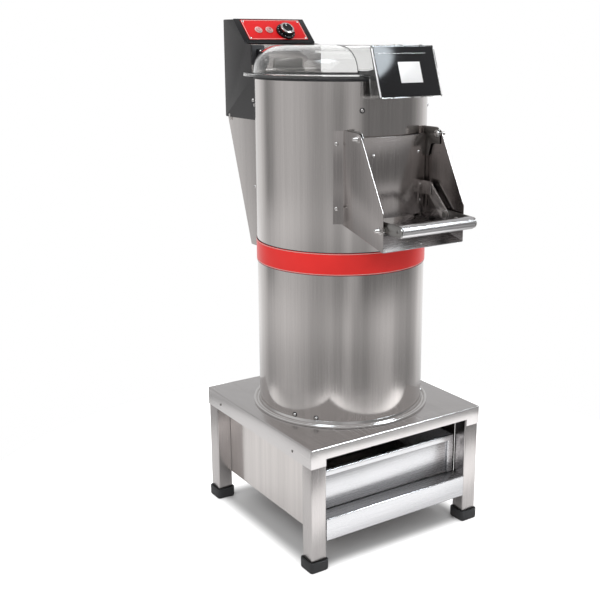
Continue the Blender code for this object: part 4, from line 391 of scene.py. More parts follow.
def make_floor():
    """A pale disc that glows white outside the stand's outline, and keeps the shadow inside it. Metal also sees it
    glow, more brightly in front of the stand: painted light that only reflections show.
    """
    bpy.ops.mesh.primitive_circle_add(vertices=ROUND_STEPS, radius=FLOOR_RADIUS, fill_type="NGON")
    floor = bpy.context.object
    floor.name = "floor"
    finish, tree, shader = new_finish("pale_floor")
    shader.inputs["Roughness"].default_value = 0.9
    shader.inputs["Specular IOR Level"].default_value = 0.1
    shader.inputs["Emission Color"].default_value = (1, 1, 1, 1)
    spot = add_node(tree, "TexCoord").outputs["Object"]
    axes = add_node(tree, "SeparateXYZ", {"Vector": spot})
    sides = [
        add_node(tree, "Math", {0: axes.outputs[axis]}, operation="ABSOLUTE").outputs[0] for axis in ("X", "Y")
    ]
    away = add_node(tree, "Math", {0: sides[0], 1: sides[1]}, operation="MAXIMUM").outputs[0]
    grey = ramp_between(tree, away, FLOOR_FADE_START, FLOOR_FADE_END, FLOOR_GREY, FLOOR_FAR_GREY)
    tree.links.new(grey, shader.inputs["Base Color"])
    rise = ramp_between(tree, away, FLOOR_GLOW_START, FLOOR_GLOW_END)
    path = add_node(tree, "LightPath")
    # Painted light: a stronger glow in front of the stand, seen only in reflections
    front_glow = ramp_between(tree, axes.outputs["Y"], FRONT_GLOW_START, FRONT_GLOW_END, FLOOR_MIRRORED, FRONT_GLOW_MIRRORED)
    front_glow = add_node(
        tree, "Math", {0: front_glow, 1: ramp_between(tree, away, FRONT_GLOW_FADE_START, FRONT_GLOW_FADE_END, 1.0, 0.0)},
        operation="MULTIPLY",
    ).outputs[0]
    mirrored = add_node(
        tree, "Math", {0: path.outputs["Is Glossy Ray"], 1: front_glow}, operation="MULTIPLY"
    ).outputs[0]
    seen = add_node(
        tree, "Math", {0: path.outputs["Is Camera Ray"], 1: path.outputs["Is Transmission Ray"]},
        operation="MAXIMUM",
    ).outputs[0]
    share = add_node(tree, "Math", {0: seen, 1: mirrored}, operation="MAXIMUM").outputs[0]
    glow = add_node(tree, "Math", {0: rise, 1: share}, operation="MULTIPLY").outputs[0]
    tree.links.new(glow, shader.inputs["Emission Strength"])
    floor.data.materials.append(finish)


# Finishes


def new_finish(name):
    finish = bpy.data.materials.new(name)
    finish.use_nodes = True
    tree = finish.node_tree
    return finish, tree, tree.nodes["Principled BSDF"]


def object_noise(tree, stretch, scale, detail=4.0, roughness=0.6):
    """Noise on the piece's own coordinates, drawn out along an axis where stretch is small."""
    spot = add_node(tree, "TexCoord").outputs["Object"]
    laid = add_node(tree, "Mapping", {"Vector": spot, "Scale": stretch}).outputs[0]
    noise = add_node(
        tree, "TexNoise", {"Vector": laid, "Scale": scale, "Detail": detail, "Roughness": roughness}
    )
    return noise.outputs["Fac"]


def spread(tree, value, low, high, start=0.35, end=0.65):
    return add_node(
        tree, "MapRange", {"Value": value, "From Min": start, "From Max": end, "To Min": low, "To Max": high}
    ).outputs[0]


def tint(tree, value, dark, light):
    return blend(tree, value, (*dark, 1), (*light, 1))


def raise_bump(tree, shader, height, strength, distance):
    bump = add_node(tree, "Bump", {"Height": height, "Strength": strength, "Distance": distance})
    tree.links.new(bump.outputs["Normal"], shader.inputs["Normal"])


def brushed_steel(name, colour, roughness, stretch, streaks=0.35, depth=0.04):
    """Stainless sheet: fine brush lines, wider faint streaks along them, and soft clouds in its gloss."""
    finish, tree, shader = new_finish(name)
    lines = object_noise(tree, stretch, 620.0, detail=5.0, roughness=0.7)
    wide = object_noise(tree, stretch, 52.0, detail=3.0)
    clouds = object_noise(tree, (1, 1, 1), 6.0, detail=3.0)
    mixed = add_node(
        tree, "Math", {0: spread(tree, lines, 0, 1 - streaks), 1: spread(tree, wide, 0, streaks)}, operation="ADD"
    ).outputs[0]
    dark = tuple(value * 0.91 for value in colour)
    light = tuple(min(1, value * 1.07) for value in colour)
    tree.links.new(tint(tree, mixed, dark, light), shader.inputs["Base Color"])
    uneven = add_node(
        tree, "Math",
        {0: spread(tree, lines, roughness - 0.03, roughness + 0.03), 1: spread(tree, clouds, -0.015, 0.015)},
        operation="ADD",
    ).outputs[0]
    tree.links.new(uneven, shader.inputs["Roughness"])
    shader.inputs["Metallic"].default_value = 1.0
    raise_bump(tree, shader, lines, depth, 0.0003)
    return finish


def cast_metal(name, colour, roughness):
    finish, tree, shader = new_finish(name)
    grains = object_noise(tree, (1, 1, 1), 420.0, detail=5.0)
    clouds = object_noise(tree, (1, 1, 1), 18.0)
    dark = tuple(value * 0.82 for value in colour)
    tree.links.new(tint(tree, spread(tree, clouds, 0, 1), dark, colour), shader.inputs["Base Color"])
    tree.links.new(spread(tree, grains, roughness - 0.08, roughness + 0.08), shader.inputs["Roughness"])
    shader.inputs["Metallic"].default_value = 1.0
    raise_bump(tree, shader, grains, 0.25, 0.0006)
    return finish


def satin_coat(name, dark, light, roughness, texture=0.0, size=900.0, gloss=0.5):
    """Paint, plastic or rubber: two close tones in soft clouds and a fine surface texture."""
    finish, tree, shader = new_finish(name)
    grains = object_noise(tree, (1, 1, 1), size, detail=3.0)
    clouds = object_noise(tree, (1, 1, 1), 9.0)
    tree.links.new(tint(tree, spread(tree, clouds, 0, 1), dark, light), shader.inputs["Base Color"])
    tree.links.new(spread(tree, grains, roughness - 0.04, roughness + 0.04), shader.inputs["Roughness"])
    shader.inputs["Specular IOR Level"].default_value = gloss
    if texture:
        raise_bump(tree, shader, grains, texture, 0.0005)
    return finish


def clear_sheet(name):
    """Clear moulded plastic with the faintest haze of wear."""
    finish, tree, shader = new_finish(name)
    haze = object_noise(tree, (1, 1, 1), 60.0, detail=6.0)
    tree.links.new(spread(tree, haze, 0.0, 0.035), shader.inputs["Roughness"])
    shader.inputs["Base Color"].default_value = (0.93, 0.93, 0.925, 1)
    shader.inputs["Transmission Weight"].default_value = 1.0
    shader.inputs["IOR"].default_value = 1.49
    return finish


def grit_coat(name):
    finish, tree, shader = new_finish(name)
    grains = add_node(
        tree, "TexVoronoi", {"Vector": add_node(tree, "TexCoord").outputs["Object"], "Scale": 420.0}
    ).outputs["Distance"]
    clouds = object_noise(tree, (1, 1, 1), 24.0)
    tone = tint(tree, spread(tree, clouds, 0, 1), (0.12, 0.115, 0.11), (0.26, 0.25, 0.235))
    tree.links.new(tone, shader.inputs["Base Color"])
    tree.links.new(spread(tree, grains, 0.75, 0.95, 0.1, 0.6), shader.inputs["Roughness"])
    raise_bump(tree, shader, grains, 0.9, 0.0015)
    return finish


UPRIGHT, ALONG_X, ALONG_Y = (1, 1, 0.012), (0.012, 1, 1), (1, 0.012, 1)


def make_finishes():
    return {
        "brushed_stainless": brushed_steel("brushed_stainless", (0.625, 0.592, 0.576), 0.14, UPRIGHT, 0.55),
        "brushed_flat": brushed_steel("brushed_flat", (0.605, 0.605, 0.620), 0.26, ALONG_X, 0.12, 0.02),
        "brushed_top": brushed_steel("brushed_top", (0.610, 0.590, 0.585), 0.24, ALONG_Y, 0.12, 0.02),
        # The legs: the same stainless, darker as painted shade
        "brushed_post_shaded": brushed_steel("brushed_post_shaded", (0.520, 0.495, 0.488), 0.24, UPRIGHT, 0.15, 0.02),
        # The chute, door and ears: the same stainless, darker as painted shade
        "brushed_chute_shaded": brushed_steel("brushed_chute_shaded", (0.450, 0.420, 0.410), 0.20, UPRIGHT, 0.12, 0.01),
        "sheet_stainless": brushed_steel("sheet_stainless", (0.610, 0.580, 0.575), 0.30, UPRIGHT, 0.2, 0.02),
        "bright_steel": brushed_steel("bright_steel", (0.72, 0.70, 0.69), 0.16, (1, 1, 1), 0.3, 0.01),
        "satin_bar": brushed_steel("satin_bar", (0.62, 0.61, 0.615), 0.24, (1, 1, 1), 0.1, 0.0),
        "dark_steel": brushed_steel("dark_steel", (0.30, 0.29, 0.28), 0.34, (1, 1, 1), 0.3, 0.02),
        "cast_aluminium": cast_metal("cast_aluminium", (0.50, 0.50, 0.50), 0.45),
        "abrasive_grit": grit_coat("abrasive_grit"),
        "black_rubber": satin_coat("black_rubber", (0.016, 0.016, 0.017), (0.026, 0.026, 0.028), 0.62, 0.10),
        "anthracite_paint": satin_coat(
            "anthracite_paint", (0.024, 0.023, 0.024), (0.031, 0.030, 0.031), 0.36, 0.10, 1100.0
        ),
        "black_panel": satin_coat("black_panel", (0.005, 0.005, 0.006), (0.007, 0.007, 0.008), 0.08, gloss=0.3),
        "red_film": satin_coat("red_film", (0.50, 0.008, 0.010), (0.56, 0.011, 0.013), 0.32, gloss=0.15),
        # The band's red film, much brighter than the panel's: painted light for the lamp light the band lacks
        "band_film_brightened": satin_coat("band_film_brightened", (0.88, 0.034, 0.030), (0.94, 0.040, 0.035), 0.32, gloss=0.3),
        "clear_plastic": clear_sheet("clear_plastic"),
        "pale_plastic": satin_coat("pale_plastic", (0.62, 0.50, 0.47), (0.72, 0.61, 0.58), 0.35, 0.04),
        "rose_plastic": satin_coat("rose_plastic", (0.46, 0.21, 0.21), (0.54, 0.27, 0.26), 0.30, 0.03),
        "white_plate": satin_coat("white_plate", (0.80, 0.80, 0.81), (0.86, 0.86, 0.86), 0.45, 0.03),
        "motor_paint": satin_coat("motor_paint", (0.10, 0.14, 0.19), (0.13, 0.17, 0.22), 0.45, 0.10),
    }


# Ways of making


def only(*pieces):
    """Selects these pieces alone, the last one active."""
    bpy.ops.object.select_all(action="DESELECT")
    for piece in pieces:
        piece.select_set(True)
    bpy.context.view_layer.objects.active = pieces[-1]


def pick(kind, wanted):
    """In edit mode, selects the verts, edges or faces for which wanted(middle, facing) is true."""
    bpy.ops.mesh.select_mode(type={"verts": "VERT", "edges": "EDGE", "faces": "FACE"}[kind])
    bpy.ops.mesh.select_all(action="DESELECT")
    shape = bmesh.from_edit_mesh(bpy.context.object.data)
    shape.normal_update()
    for part in getattr(shape, kind):
        if kind == "verts":
            middle, facing = part.co, part.normal
        elif kind == "edges":
            ends = [vert.co for vert in part.verts]
            middle, facing = (ends[0] + ends[1]) / 2, (ends[1] - ends[0]).normalized()
        else:
            middle, facing = part.calc_center_median(), part.normal
        if wanted(middle, facing):
            part.select_set(True)
    shape.select_flush_mode()
    bmesh.update_edit_mesh(bpy.context.object.data)


def tidy_normals():
    bpy.ops.mesh.select_all(action="SELECT")
    bpy.ops.mesh.remove_doubles(threshold=NEAR_ZERO)
    bpy.ops.mesh.normals_make_consistent(inside=False)


def block(name, low, high):
    middle = [(a + b) / 2 for a, b in zip(low, high)]
    bpy.ops.mesh.primitive_cube_add(size=1, location=middle, scale=[b - a for a, b in zip(low, high)])
    piece = bpy.context.object
    piece.name = name
    bpy.ops.object.transform_apply(location=True, rotation=True, scale=True)
    return piece


def node_block(name, node):
    return block(name, *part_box(node))


def rod(name, radius, start, end, steps=PIN_STEPS):
    """A round bar from one point to another."""
    start, end = Vector(start), Vector(end)
    bpy.ops.mesh.primitive_cylinder_add(vertices=steps, radius=radius, depth=(end - start).length)
    piece = bpy.context.object
    piece.name = name
    piece.location = (start + end) / 2
    piece.rotation_euler = (end - start).to_track_quat("Z", "Y").to_euler()
    bpy.ops.object.transform_apply(location=True, rotation=True, scale=True)
    return piece


def in_plane(a, b, across, level):
    """The point (a, b) in the plane across an axis, at its level on that axis."""
    return Vector({"x": (level, a, b), "y": (a, level, b), "z": (a, b, level)}[across])


def outline_face(name, corners, across, level):
    """A flat face with these (a, b) or (a, b, rounding) corners."""
    bpy.ops.mesh.primitive_circle_add(vertices=len(corners), radius=1, fill_type="NGON")
    piece = bpy.context.object
    piece.name = name
    spots = [in_plane(a, b, across, level) for a, b, *_ in corners]
    for vertex, spot in zip(piece.data.vertices, spots):
        vertex.co = spot
    roundings = [corner[2] if len(corner) > 2 else 0 for corner in corners]
    bpy.ops.object.mode_set(mode="EDIT")
    for rounding in sorted(set(roundings) - {0}):
        wanted = [spot for spot, own in zip(spots, roundings) if own == rounding]
        pick("verts", lambda middle, _: any((middle - spot).length < NEAR_ZERO for spot in wanted))
        bpy.ops.mesh.bevel(offset_type="OFFSET", offset=rounding, segments=CORNER_STEPS, affect="VERTICES")
    bpy.ops.object.mode_set(mode="OBJECT")
    return piece


def plate(name, corners, across, near, far):
    """A flat plate with these corners, across an axis from near to far."""
    piece = outline_face(name, corners, across, near)
    bpy.ops.object.mode_set(mode="EDIT")
    bpy.ops.mesh.select_all(action="SELECT")
    step = in_plane(0, 0, across, far - near)
    bpy.ops.mesh.extrude_region_move(TRANSFORM_OT_translate={"value": step})
    tidy_normals()
    bpy.ops.object.mode_set(mode="OBJECT")
    return piece


def bar_plate(name, start, end, half, near, far):
    """A plate with full-round ends round two (y, z) points, across X."""
    start, end = Vector(start), Vector(end)
    along = (end - start).normalized() * half
    aside = Vector((-along.y, along.x))
    corners = [start - along - aside, end + along - aside, end + along + aside, start - along + aside]
    return plate(name, [(*corner, half * 0.999) for corner in corners], "x", near, far)


def turned(name, profile, steps=ROUND_STEPS):
    """A (radius, height) profile, closed or with both ends on the axis, spun about Z."""
    piece = outline_face(name, profile, "y", 0)
    bpy.ops.object.mode_set(mode="EDIT")
    bpy.ops.mesh.select_all(action="SELECT")
    bpy.ops.mesh.delete(type="ONLY_FACE")
    pick("edges", lambda middle, _: abs(middle.x) < NEAR_ZERO)
    bpy.ops.mesh.delete(type="EDGE")
    bpy.ops.mesh.select_all(action="SELECT")
    bpy.ops.mesh.spin(steps=steps, angle=2 * math.pi, center=(0, 0, 0), axis=(0, 0, 1))
    tidy_normals()
    bpy.ops.object.mode_set(mode="OBJECT")
    return piece


def ring(name, inner, outer, low, high, steps=ROUND_STEPS, rounding=0):
    corners = [(inner, low, rounding), (outer, low, rounding), (outer, high, rounding), (inner, high, rounding)]
    return turned(name, corners, steps)


def arc_plate(name, inner, outer, low, high, middle_turn, half_turn, steps=48):
    """A sheet bent round the drum's axis, half_turn to each side of middle_turn."""
    piece = outline_face(name, [(inner, low), (outer, low), (outer, high), (inner, high)], "y", 0)
    piece.rotation_euler.z = middle_turn - half_turn * SPIN_HAND
    bpy.ops.object.transform_apply(location=True, rotation=True, scale=True)
    bpy.ops.object.mode_set(mode="EDIT")
    bpy.ops.mesh.select_all(action="SELECT")
    bpy.ops.mesh.spin(steps=steps, angle=2 * half_turn, center=(0, 0, 0), axis=(0, 0, 1))
    tidy_normals()
    bpy.ops.object.mode_set(mode="OBJECT")
    return piece


def find_spin_hand():
    """1 if the spin tool turns anticlockwise seen from above, else -1."""
    piece = outline_face("spin_trial", [(1, 0), (2, 0), (2, 1)], "y", 0)
    bpy.ops.object.mode_set(mode="EDIT")
    bpy.ops.mesh.select_all(action="SELECT")
    bpy.ops.mesh.spin(steps=2, angle=1, center=(0, 0, 0), axis=(0, 0, 1))
    bpy.ops.object.mode_set(mode="OBJECT")
    hand = 1 if sum(vertex.co.y for vertex in piece.data.vertices) > 0 else -1
    bpy.data.objects.remove(piece)
    return hand


def modify(piece, kind, **settings):
    only(piece)
    modifier = piece.modifiers.new(kind.title(), kind)
    for name, value in settings.items():
        setattr(modifier, name, value)
    bpy.ops.object.modifier_apply(modifier=modifier.name)
    return piece


def cut(piece, *tools):
    for tool in tools:
        modify(piece, "BOOLEAN", operation="DIFFERENCE", solver="EXACT", object=tool)
        bpy.data.objects.remove(tool)
    return piece


def weld(piece, *others):
    for other in others:
        modify(piece, "BOOLEAN", operation="UNION", solver="EXACT", object=other)
        bpy.data.objects.remove(other)
    return piece


def ease(piece, width=FINE_EDGE, segments=2, angle=40):
    """Rounds every edge sharper than the angle."""
    return modify(
        piece, "BEVEL", width=width, segments=segments, limit_method="ANGLE", angle_limit=math.radians(angle)
    )


def ease_edges(piece, width, segments, wanted):
    """Rounds the edges for which wanted(middle, direction) is true."""
    only(piece)
    bpy.ops.object.mode_set(mode="EDIT")
    pick("edges", wanted)
    bpy.ops.mesh.bevel(offset_type="OFFSET", offset=width, segments=segments, affect="EDGES")
    bpy.ops.object.mode_set(mode="OBJECT")
    return piece


def drop_faces(piece, wanted):
    only(piece)
    bpy.ops.object.mode_set(mode="EDIT")
    pick("faces", wanted)
    bpy.ops.mesh.delete(type="FACE")
    bpy.ops.object.mode_set(mode="OBJECT")
    return piece


def lay(piece, matrix):
    """Puts a piece that was made at the origin in its place."""
    only(piece)
    piece.matrix_world = matrix
    bpy.ops.object.transform_apply(location=True, rotation=True, scale=True)
    return piece


def facing(place, direction):
    return Matrix.Translation(place) @ Vector(direction).to_track_quat("Z", "Y").to_matrix().to_4x4()


def drum_tool(radius, low=0.5, high=1.2):
    return rod("drum_tool", radius, (0, 0, low), (0, 0, high), DRUM_STEPS)


def join(name, *pieces):
    only(*pieces)
    if len(pieces) > 1:
        bpy.ops.object.join()
    bpy.context.object.name = name
    return bpy.context.object


def scatter(name, model, places):
    """Copies of one model at (place, direction) pairs, joined in one piece. The model goes."""
    copies = []
    for place, direction in places:
        only(model)
        bpy.ops.object.duplicate()
        copies.append(lay(bpy.context.object, facing(place, direction)))
    bpy.data.objects.remove(model)
    return join(name, *copies)


def turned_copies(model, turns):
    """Copies of one model turned about Z. The model goes."""
    copies = []
    for turn in turns:
        only(model)
        bpy.ops.object.duplicate()
        copies.append(lay(bpy.context.object, Matrix.Rotation(turn, 4, "Z")))
    bpy.data.objects.remove(model)
    return copies


def done(piece, body, slot, *stands_for, finish=None, sharp=32):
    """Smooth shading with crisp edges, the finish, and the body that carries the piece."""
    only(piece)
    bpy.ops.object.shade_smooth_by_angle(angle=math.radians(sharp))
    piece.data.name = piece.name
    piece.data.materials.clear()
    piece.data.materials.append(FINISHES[finish or slot])
    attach(piece, body)
    if stands_for:
        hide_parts(*stands_for)
    return piece


# Stand


def make_table_top():
    low, high = (-HALF_TABLE, -HALF_TABLE, TABLE_HEIGHT - APRON_DEPTH), (HALF_TABLE, HALF_TABLE, TABLE_HEIGHT)
    top = block("table_top_sheet", low, high)
    drop_faces(top, lambda _, normal: normal.z < -0.9)
    ease_edges(top, TABLE_BEND, 5, lambda middle, _: middle.z > low[2] + FIT)
    modify(top, "SOLIDIFY", thickness=SHEET, offset=-1)
    notch = block(
        "notch", (-NOTCH_HALF, low[1] - OVERRUN, low[2] - OVERRUN),
        (NOTCH_HALF, -NOTCH_HALF, TABLE_HEIGHT - APRON_FRONT_DEPTH),
    )
    duct_low, duct_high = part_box("waste_duct")
    hole = block(
        "duct_hole", (duct_low.x - FIT, duct_low.y - FIT, low[2]),
        (duct_high.x + FIT, duct_high.y + FIT, TABLE_HEIGHT + OVERRUN),
    )
    ease(cut(top, notch, hole), FINE_EDGE)
    done(top, "root", "brushed_stainless", "table_top", finish="brushed_top")


def make_legs():
    for end in ("front", "rear"):
        for hand in ("left", "right"):
            node = f"leg_{end}_{hand}"
            leg = node_block(f"{node}_tube", node)
            ease_edges(leg, LEG_ROUND, 6, lambda _, along: abs(along.z) > 0.9)
            drop_faces(leg, lambda _, normal: abs(normal.z) > 0.9)
            modify(leg, "SOLIDIFY", thickness=LEG_WALL, offset=-1)
            done(ease(leg), "root", "sheet_stainless", node, finish="brushed_post_shaded")
            make_foot(f"foot_{end}_{hand}")


def make_foot(node):
    low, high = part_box(node)
    foot = node_block(f"{node}_cap", node)
    ease_edges(foot, FOOT_ROUND, 5, lambda _, along: abs(along.z) > 0.9)
    ease_edges(foot, FOOT_CHAMFER, 3, lambda middle, along: middle.z < low.z + NEAR_ZERO)
    only(foot)
    bpy.ops.object.mode_set(mode="EDIT")
    pick("faces", lambda middle, normal: normal.z > 0.9 and middle.z > high.z - NEAR_ZERO)
    bpy.ops.mesh.inset(thickness=FOOT_RIM, depth=0)
    bpy.ops.mesh.extrude_region_move(TRANSFORM_OT_translate={"value": (0, 0, -FOOT_POCKET)})
    tidy_normals()
    bpy.ops.object.mode_set(mode="OBJECT")
    done(ease(foot, 0.0012, 3, 50), "root", "black_rubber", node)


def make_front_rail():
    low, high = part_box("front_rail")
    back, front, top, bottom = high.y, low.y, high.z, low.z
    corners = [
        (back, top), (front, top, RAIL_BEND), (front, bottom, RAIL_BEND), (front + RAIL_LIP, bottom),
        (front + RAIL_LIP, bottom + SHEET), (front + SHEET, bottom + SHEET, SHEET),
        (front + SHEET, top - SHEET, SHEET), (back, top - SHEET),
    ]
    rail = plate("front_rail_fold", corners, "x", low.x, high.x)
    done(ease(rail), "root", "sheet_stainless", "front_rail", finish="brushed_flat")


def make_drawer():
    low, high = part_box("filter_drawer")
    front = low.y + DRAWER_RIM_DEPTH
    body = block("filter_drawer_box", (low.x, front, low.z), high)
    inner_low = (low.x + DRAWER_SHEET, front + DRAWER_SHEET, low.z + DRAWER_SHEET)
    inner_high = (high.x - DRAWER_SHEET, high.y - DRAWER_SHEET, high.z + OVERRUN)
    hollow = block("drawer_hollow", inner_low, inner_high)
    window = block(
        "drawer_window", (low.x + DRAWER_FLOOR_RIM, front + DRAWER_FLOOR_RIM, low.z - OVERRUN),
        (high.x - DRAWER_FLOOR_RIM, high.y - DRAWER_FLOOR_RIM, low.z + OVERRUN),
    )
    cut(body, hollow, window)
    side, top = DRAWER_RIM_SIDE, high.z - DRAWER_RIM_TOP
    border = plate(
        "drawer_border",
        [(low.x, low.z), (low.x + side, low.z), (low.x + side, top, 0.001), (high.x - side, top, 0.001),
         (high.x - side, low.z), (high.x, low.z), (high.x, high.z, 0.002), (low.x, high.z, 0.002)],
        "y", low.y, front + FIT / 2,
    )
    parts = ease(border, 0.0012, 3), ease(body, 0.0003)
    done(join("filter_drawer_box", *parts), "drawer", "brushed_stainless", "filter_drawer", finish="brushed_flat")


def make_stand_screws():
    screw = dome_screw("stand_screw")
    level, places = STAND_SCREW_LEVEL, []
    for y in STAND_SCREW_Y:
        places += [((-HALF_TABLE, y, level), (-1, 0, 0)), ((HALF_TABLE, y, level), (1, 0, 0))]
    for x in (-STAND_SCREW_X, STAND_SCREW_X):
        places.append(((x, HALF_TABLE, level), (0, 1, 0)))
    done(scatter("stand_screws", screw, places), "root", "bright_steel", finish="dark_steel")


# Fasteners


def dome_screw(name, cross=True):
    """A low round head at the origin, facing +Z, with a cross recess."""
    radius, height = HEAD_SIZES[name]
    base = height * 0.25
    profile = [(0, -0.001), (radius, -0.001), (radius, base), (radius * 0.82, height * 0.72, radius * 0.2),
               (radius * 0.4, height, radius * 0.2), (0, height)]
    screw = turned(name, profile, 24)
    if cross:
        reach, half = radius * 0.55, radius * 0.11
        for across, along in ((half, reach), (reach, half)):
            cut(screw, block("recess", (-across, -along, height * 0.4), (across, along, height * 2)))
    return screw


def hex_nut(name, radius, height, tail_radius, tail):
    """A washer, a hexagonal nut with eased corners and the end of its bolt, facing +Z."""
    washer = ring("washer", tail_radius * 0.9, radius * 1.16, -0.0004, 0.0008, 28, 0.0002)
    nut = rod(name, radius, (0, 0, 0.0007), (0, 0, height), 6)
    crown = turned("crown", [(0, 0), (radius * 1.02, 0), (radius * 1.02, height * 0.82), (radius * 0.86, height),
                             (0, height)], 36)
    modify(nut, "BOOLEAN", operation="INTERSECT", solver="EXACT", object=crown)
    bpy.data.objects.remove(crown)
    thread = [(0, height * 0.9)]
    ridges = max(2, round((tail - height) / THREAD_PITCH))
    for i in range(ridges):
        start = height * 0.9 + (tail - height * 0.9) * i / ridges
        end = height * 0.9 + (tail - height * 0.9) * (i + 1) / ridges
        thread += [(tail_radius * 0.9, start + FIT / 10), (tail_radius, (start + end) / 2)]
    thread += [(tail_radius * 0.8, tail), (0, tail)]
    return join(name, washer, turned("bolt_end", thread, 24), ease(nut, 0.0002, 2, 30))


# Drum


def window_tool():
    corners = [
        (-WINDOW_HALF, WINDOW_BOTTOM, WINDOW_ROUND), (WINDOW_HALF, WINDOW_BOTTOM, WINDOW_ROUND),
        (WINDOW_HALF, WINDOW_TOP, WINDOW_ROUND), (-WINDOW_HALF, WINDOW_TOP, WINDOW_ROUND),
    ]
    return plate("window_tool", corners, "y", -1.5 * DRUM_RADIUS, -0.5 * DRUM_RADIUS)


def pipe_tool():
    reach = (DRUM_RADIUS - OVERRUN, DRUM_RADIUS + OVERRUN)
    return rod(
        "pipe_tool", PIPE_RADIUS + PIPE_CLEARANCE, (PIPE_X, reach[0], PIPE_LEVEL), (PIPE_X, reach[1], PIPE_LEVEL)
    )


def make_drum():
    for node in ("lower_body", "upper_body"):
        low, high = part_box(node)
        shell = ring(f"{node}_shell", DRUM_RADIUS - DRUM_WALL, DRUM_RADIUS, low.z, high.z, DRUM_STEPS, FINE_EDGE)
        if node == "upper_body":
            cut(shell, window_tool(), pipe_tool())
        done(shell, "root", "brushed_stainless", node)
    low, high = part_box("chamber_liner")
    outer = DRUM_RADIUS - DRUM_WALL - FIT
    liner = ring("chamber_liner_coat", outer - LINER_THICK, outer, low.z, high.z, ROUND_STEPS, 0.0015)
    done(cut(liner, window_tool(), pipe_tool()), "root", "abrasive_grit", "chamber_liner")
    make_band()
    make_bead()
    make_drum_screws()


def make_band():
    low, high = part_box("red_band")
    outer = high.x
    band = ring("red_band_strip", DRUM_OUTSIDE, outer, low.z, high.z, DRUM_STEPS, FINE_EDGE)
    done(band, "root", "red_film", "red_band", finish="band_film_brightened")
    lines = [
        ring(f"line_{i}", outer - FIT, outer + 0.0001, level, level + BAND_LINE, DRUM_STEPS)
        for i, level in enumerate((low.z + BAND_LINE_INSET, high.z - BAND_LINE_INSET - BAND_LINE))
    ]
    done(join("red_band_lines", *lines), "root", "pale_plastic")
    seams = [
        ring(f"seam_{i}", DRUM_RADIUS - FIT, outer - 0.0004, level, level + BAND_LINE, DRUM_STEPS)
        for i, level in enumerate((low.z - BAND_LINE, high.z))
    ]
    done(join("red_band_seams", *seams), "root", "black_rubber")


def make_bead():
    foot = TABLE_HEIGHT + FIT
    reach, rise = DRUM_OUTSIDE + BEAD_REACH, foot + BEAD_HEIGHT
    profile = [
        (DRUM_OUTSIDE, foot), (reach, foot, 0.0008), (reach, foot + BEAD_ROLL, BEAD_ROLL_ROUND),
        (reach - BEAD_ROLL_BACK, foot + BEAD_ROLL, BEAD_ROLL_ROUND),
        (reach - BEAD_ROLL_BACK - 0.001, foot + 0.0020, 0.0015),
        (DRUM_OUTSIDE + BEAD_COVE, foot + BEAD_COVE, 0.0018), (DRUM_OUTSIDE + 0.0008, rise, 0.0003),
        (DRUM_OUTSIDE, rise),
    ]
    bead = turned("base_ring_bead", profile, DRUM_STEPS)
    done(bead, "root", "bright_steel", "base_ring", sharp=50)


def on_drum(angle, level, radius=DRUM_RADIUS):
    """A place on the drum's wall and the direction out of it, from its compass angle in degrees."""
    turn = math.radians(angle)
    out = Vector((math.cos(turn), math.sin(turn), 0))
    return out * radius + Vector((0, 0, level)), out


def make_drum_screws():
    places = [on_drum(angle, LOW_SCREW_LEVEL) for angle in LOW_SCREW_ANGLES]
    places += [on_drum(angle, HIGH_SCREW_LEVEL) for angle in HIGH_SCREW_ANGLES]
    screw = dome_screw("drum_screw")
    done(scatter("drum_screws", screw, places), "root", "bright_steel")
    # A black ring under each drum screw's head
    washer = ring("drum_washer", DARK_RING_INNER, DARK_RING_OUTER, -FINE_EDGE, DARK_RING_THICK, 32, 0.0003)
    done(scatter("drum_screw_dark_rings", washer, places), "root", "black_rubber")


# Chute


def make_chute():
    for hand, side in (("left", -1), ("right", 1)):
        near, far = sorted((side * CHUTE_INSIDE, side * CHUTE_OUTSIDE))
        cheek = plate(f"chute_{hand}_cheek", CHUTE_OUTLINE, "x", near, far)
        corner = math.asin(CHUTE_INSIDE / DRUM_RADIUS)
        middle = side * (corner + FLANGE_TURN / 2) - math.pi / 2
        flange = arc_plate(
            "flange", DRUM_RADIUS - FIT, DRUM_OUTSIDE + SHEET, FLANGE_LOW, FLANGE_HIGH, middle, FLANGE_TURN / 2, 12
        )
        cut(weld(cheek, flange), drum_tool(DRUM_OUTSIDE))
        done(ease(cheek, FINE_EDGE, 2, 50), "root", "sheet_stainless", f"chute_{hand}", finish="brushed_chute_shaded")
        make_pivot_parts(hand, side)
    make_chute_floor()
    bolt = dome_screw("flange_bolt")
    places = [
        on_drum(-90 + side * FLANGE_BOLT_TURN, level, DRUM_OUTSIDE + SHEET)
        for side in (-1, 1) for level in FLANGE_BOLT_LEVELS
    ]
    done(scatter("chute_flange_bolts", bolt, places), "root", "bright_steel")


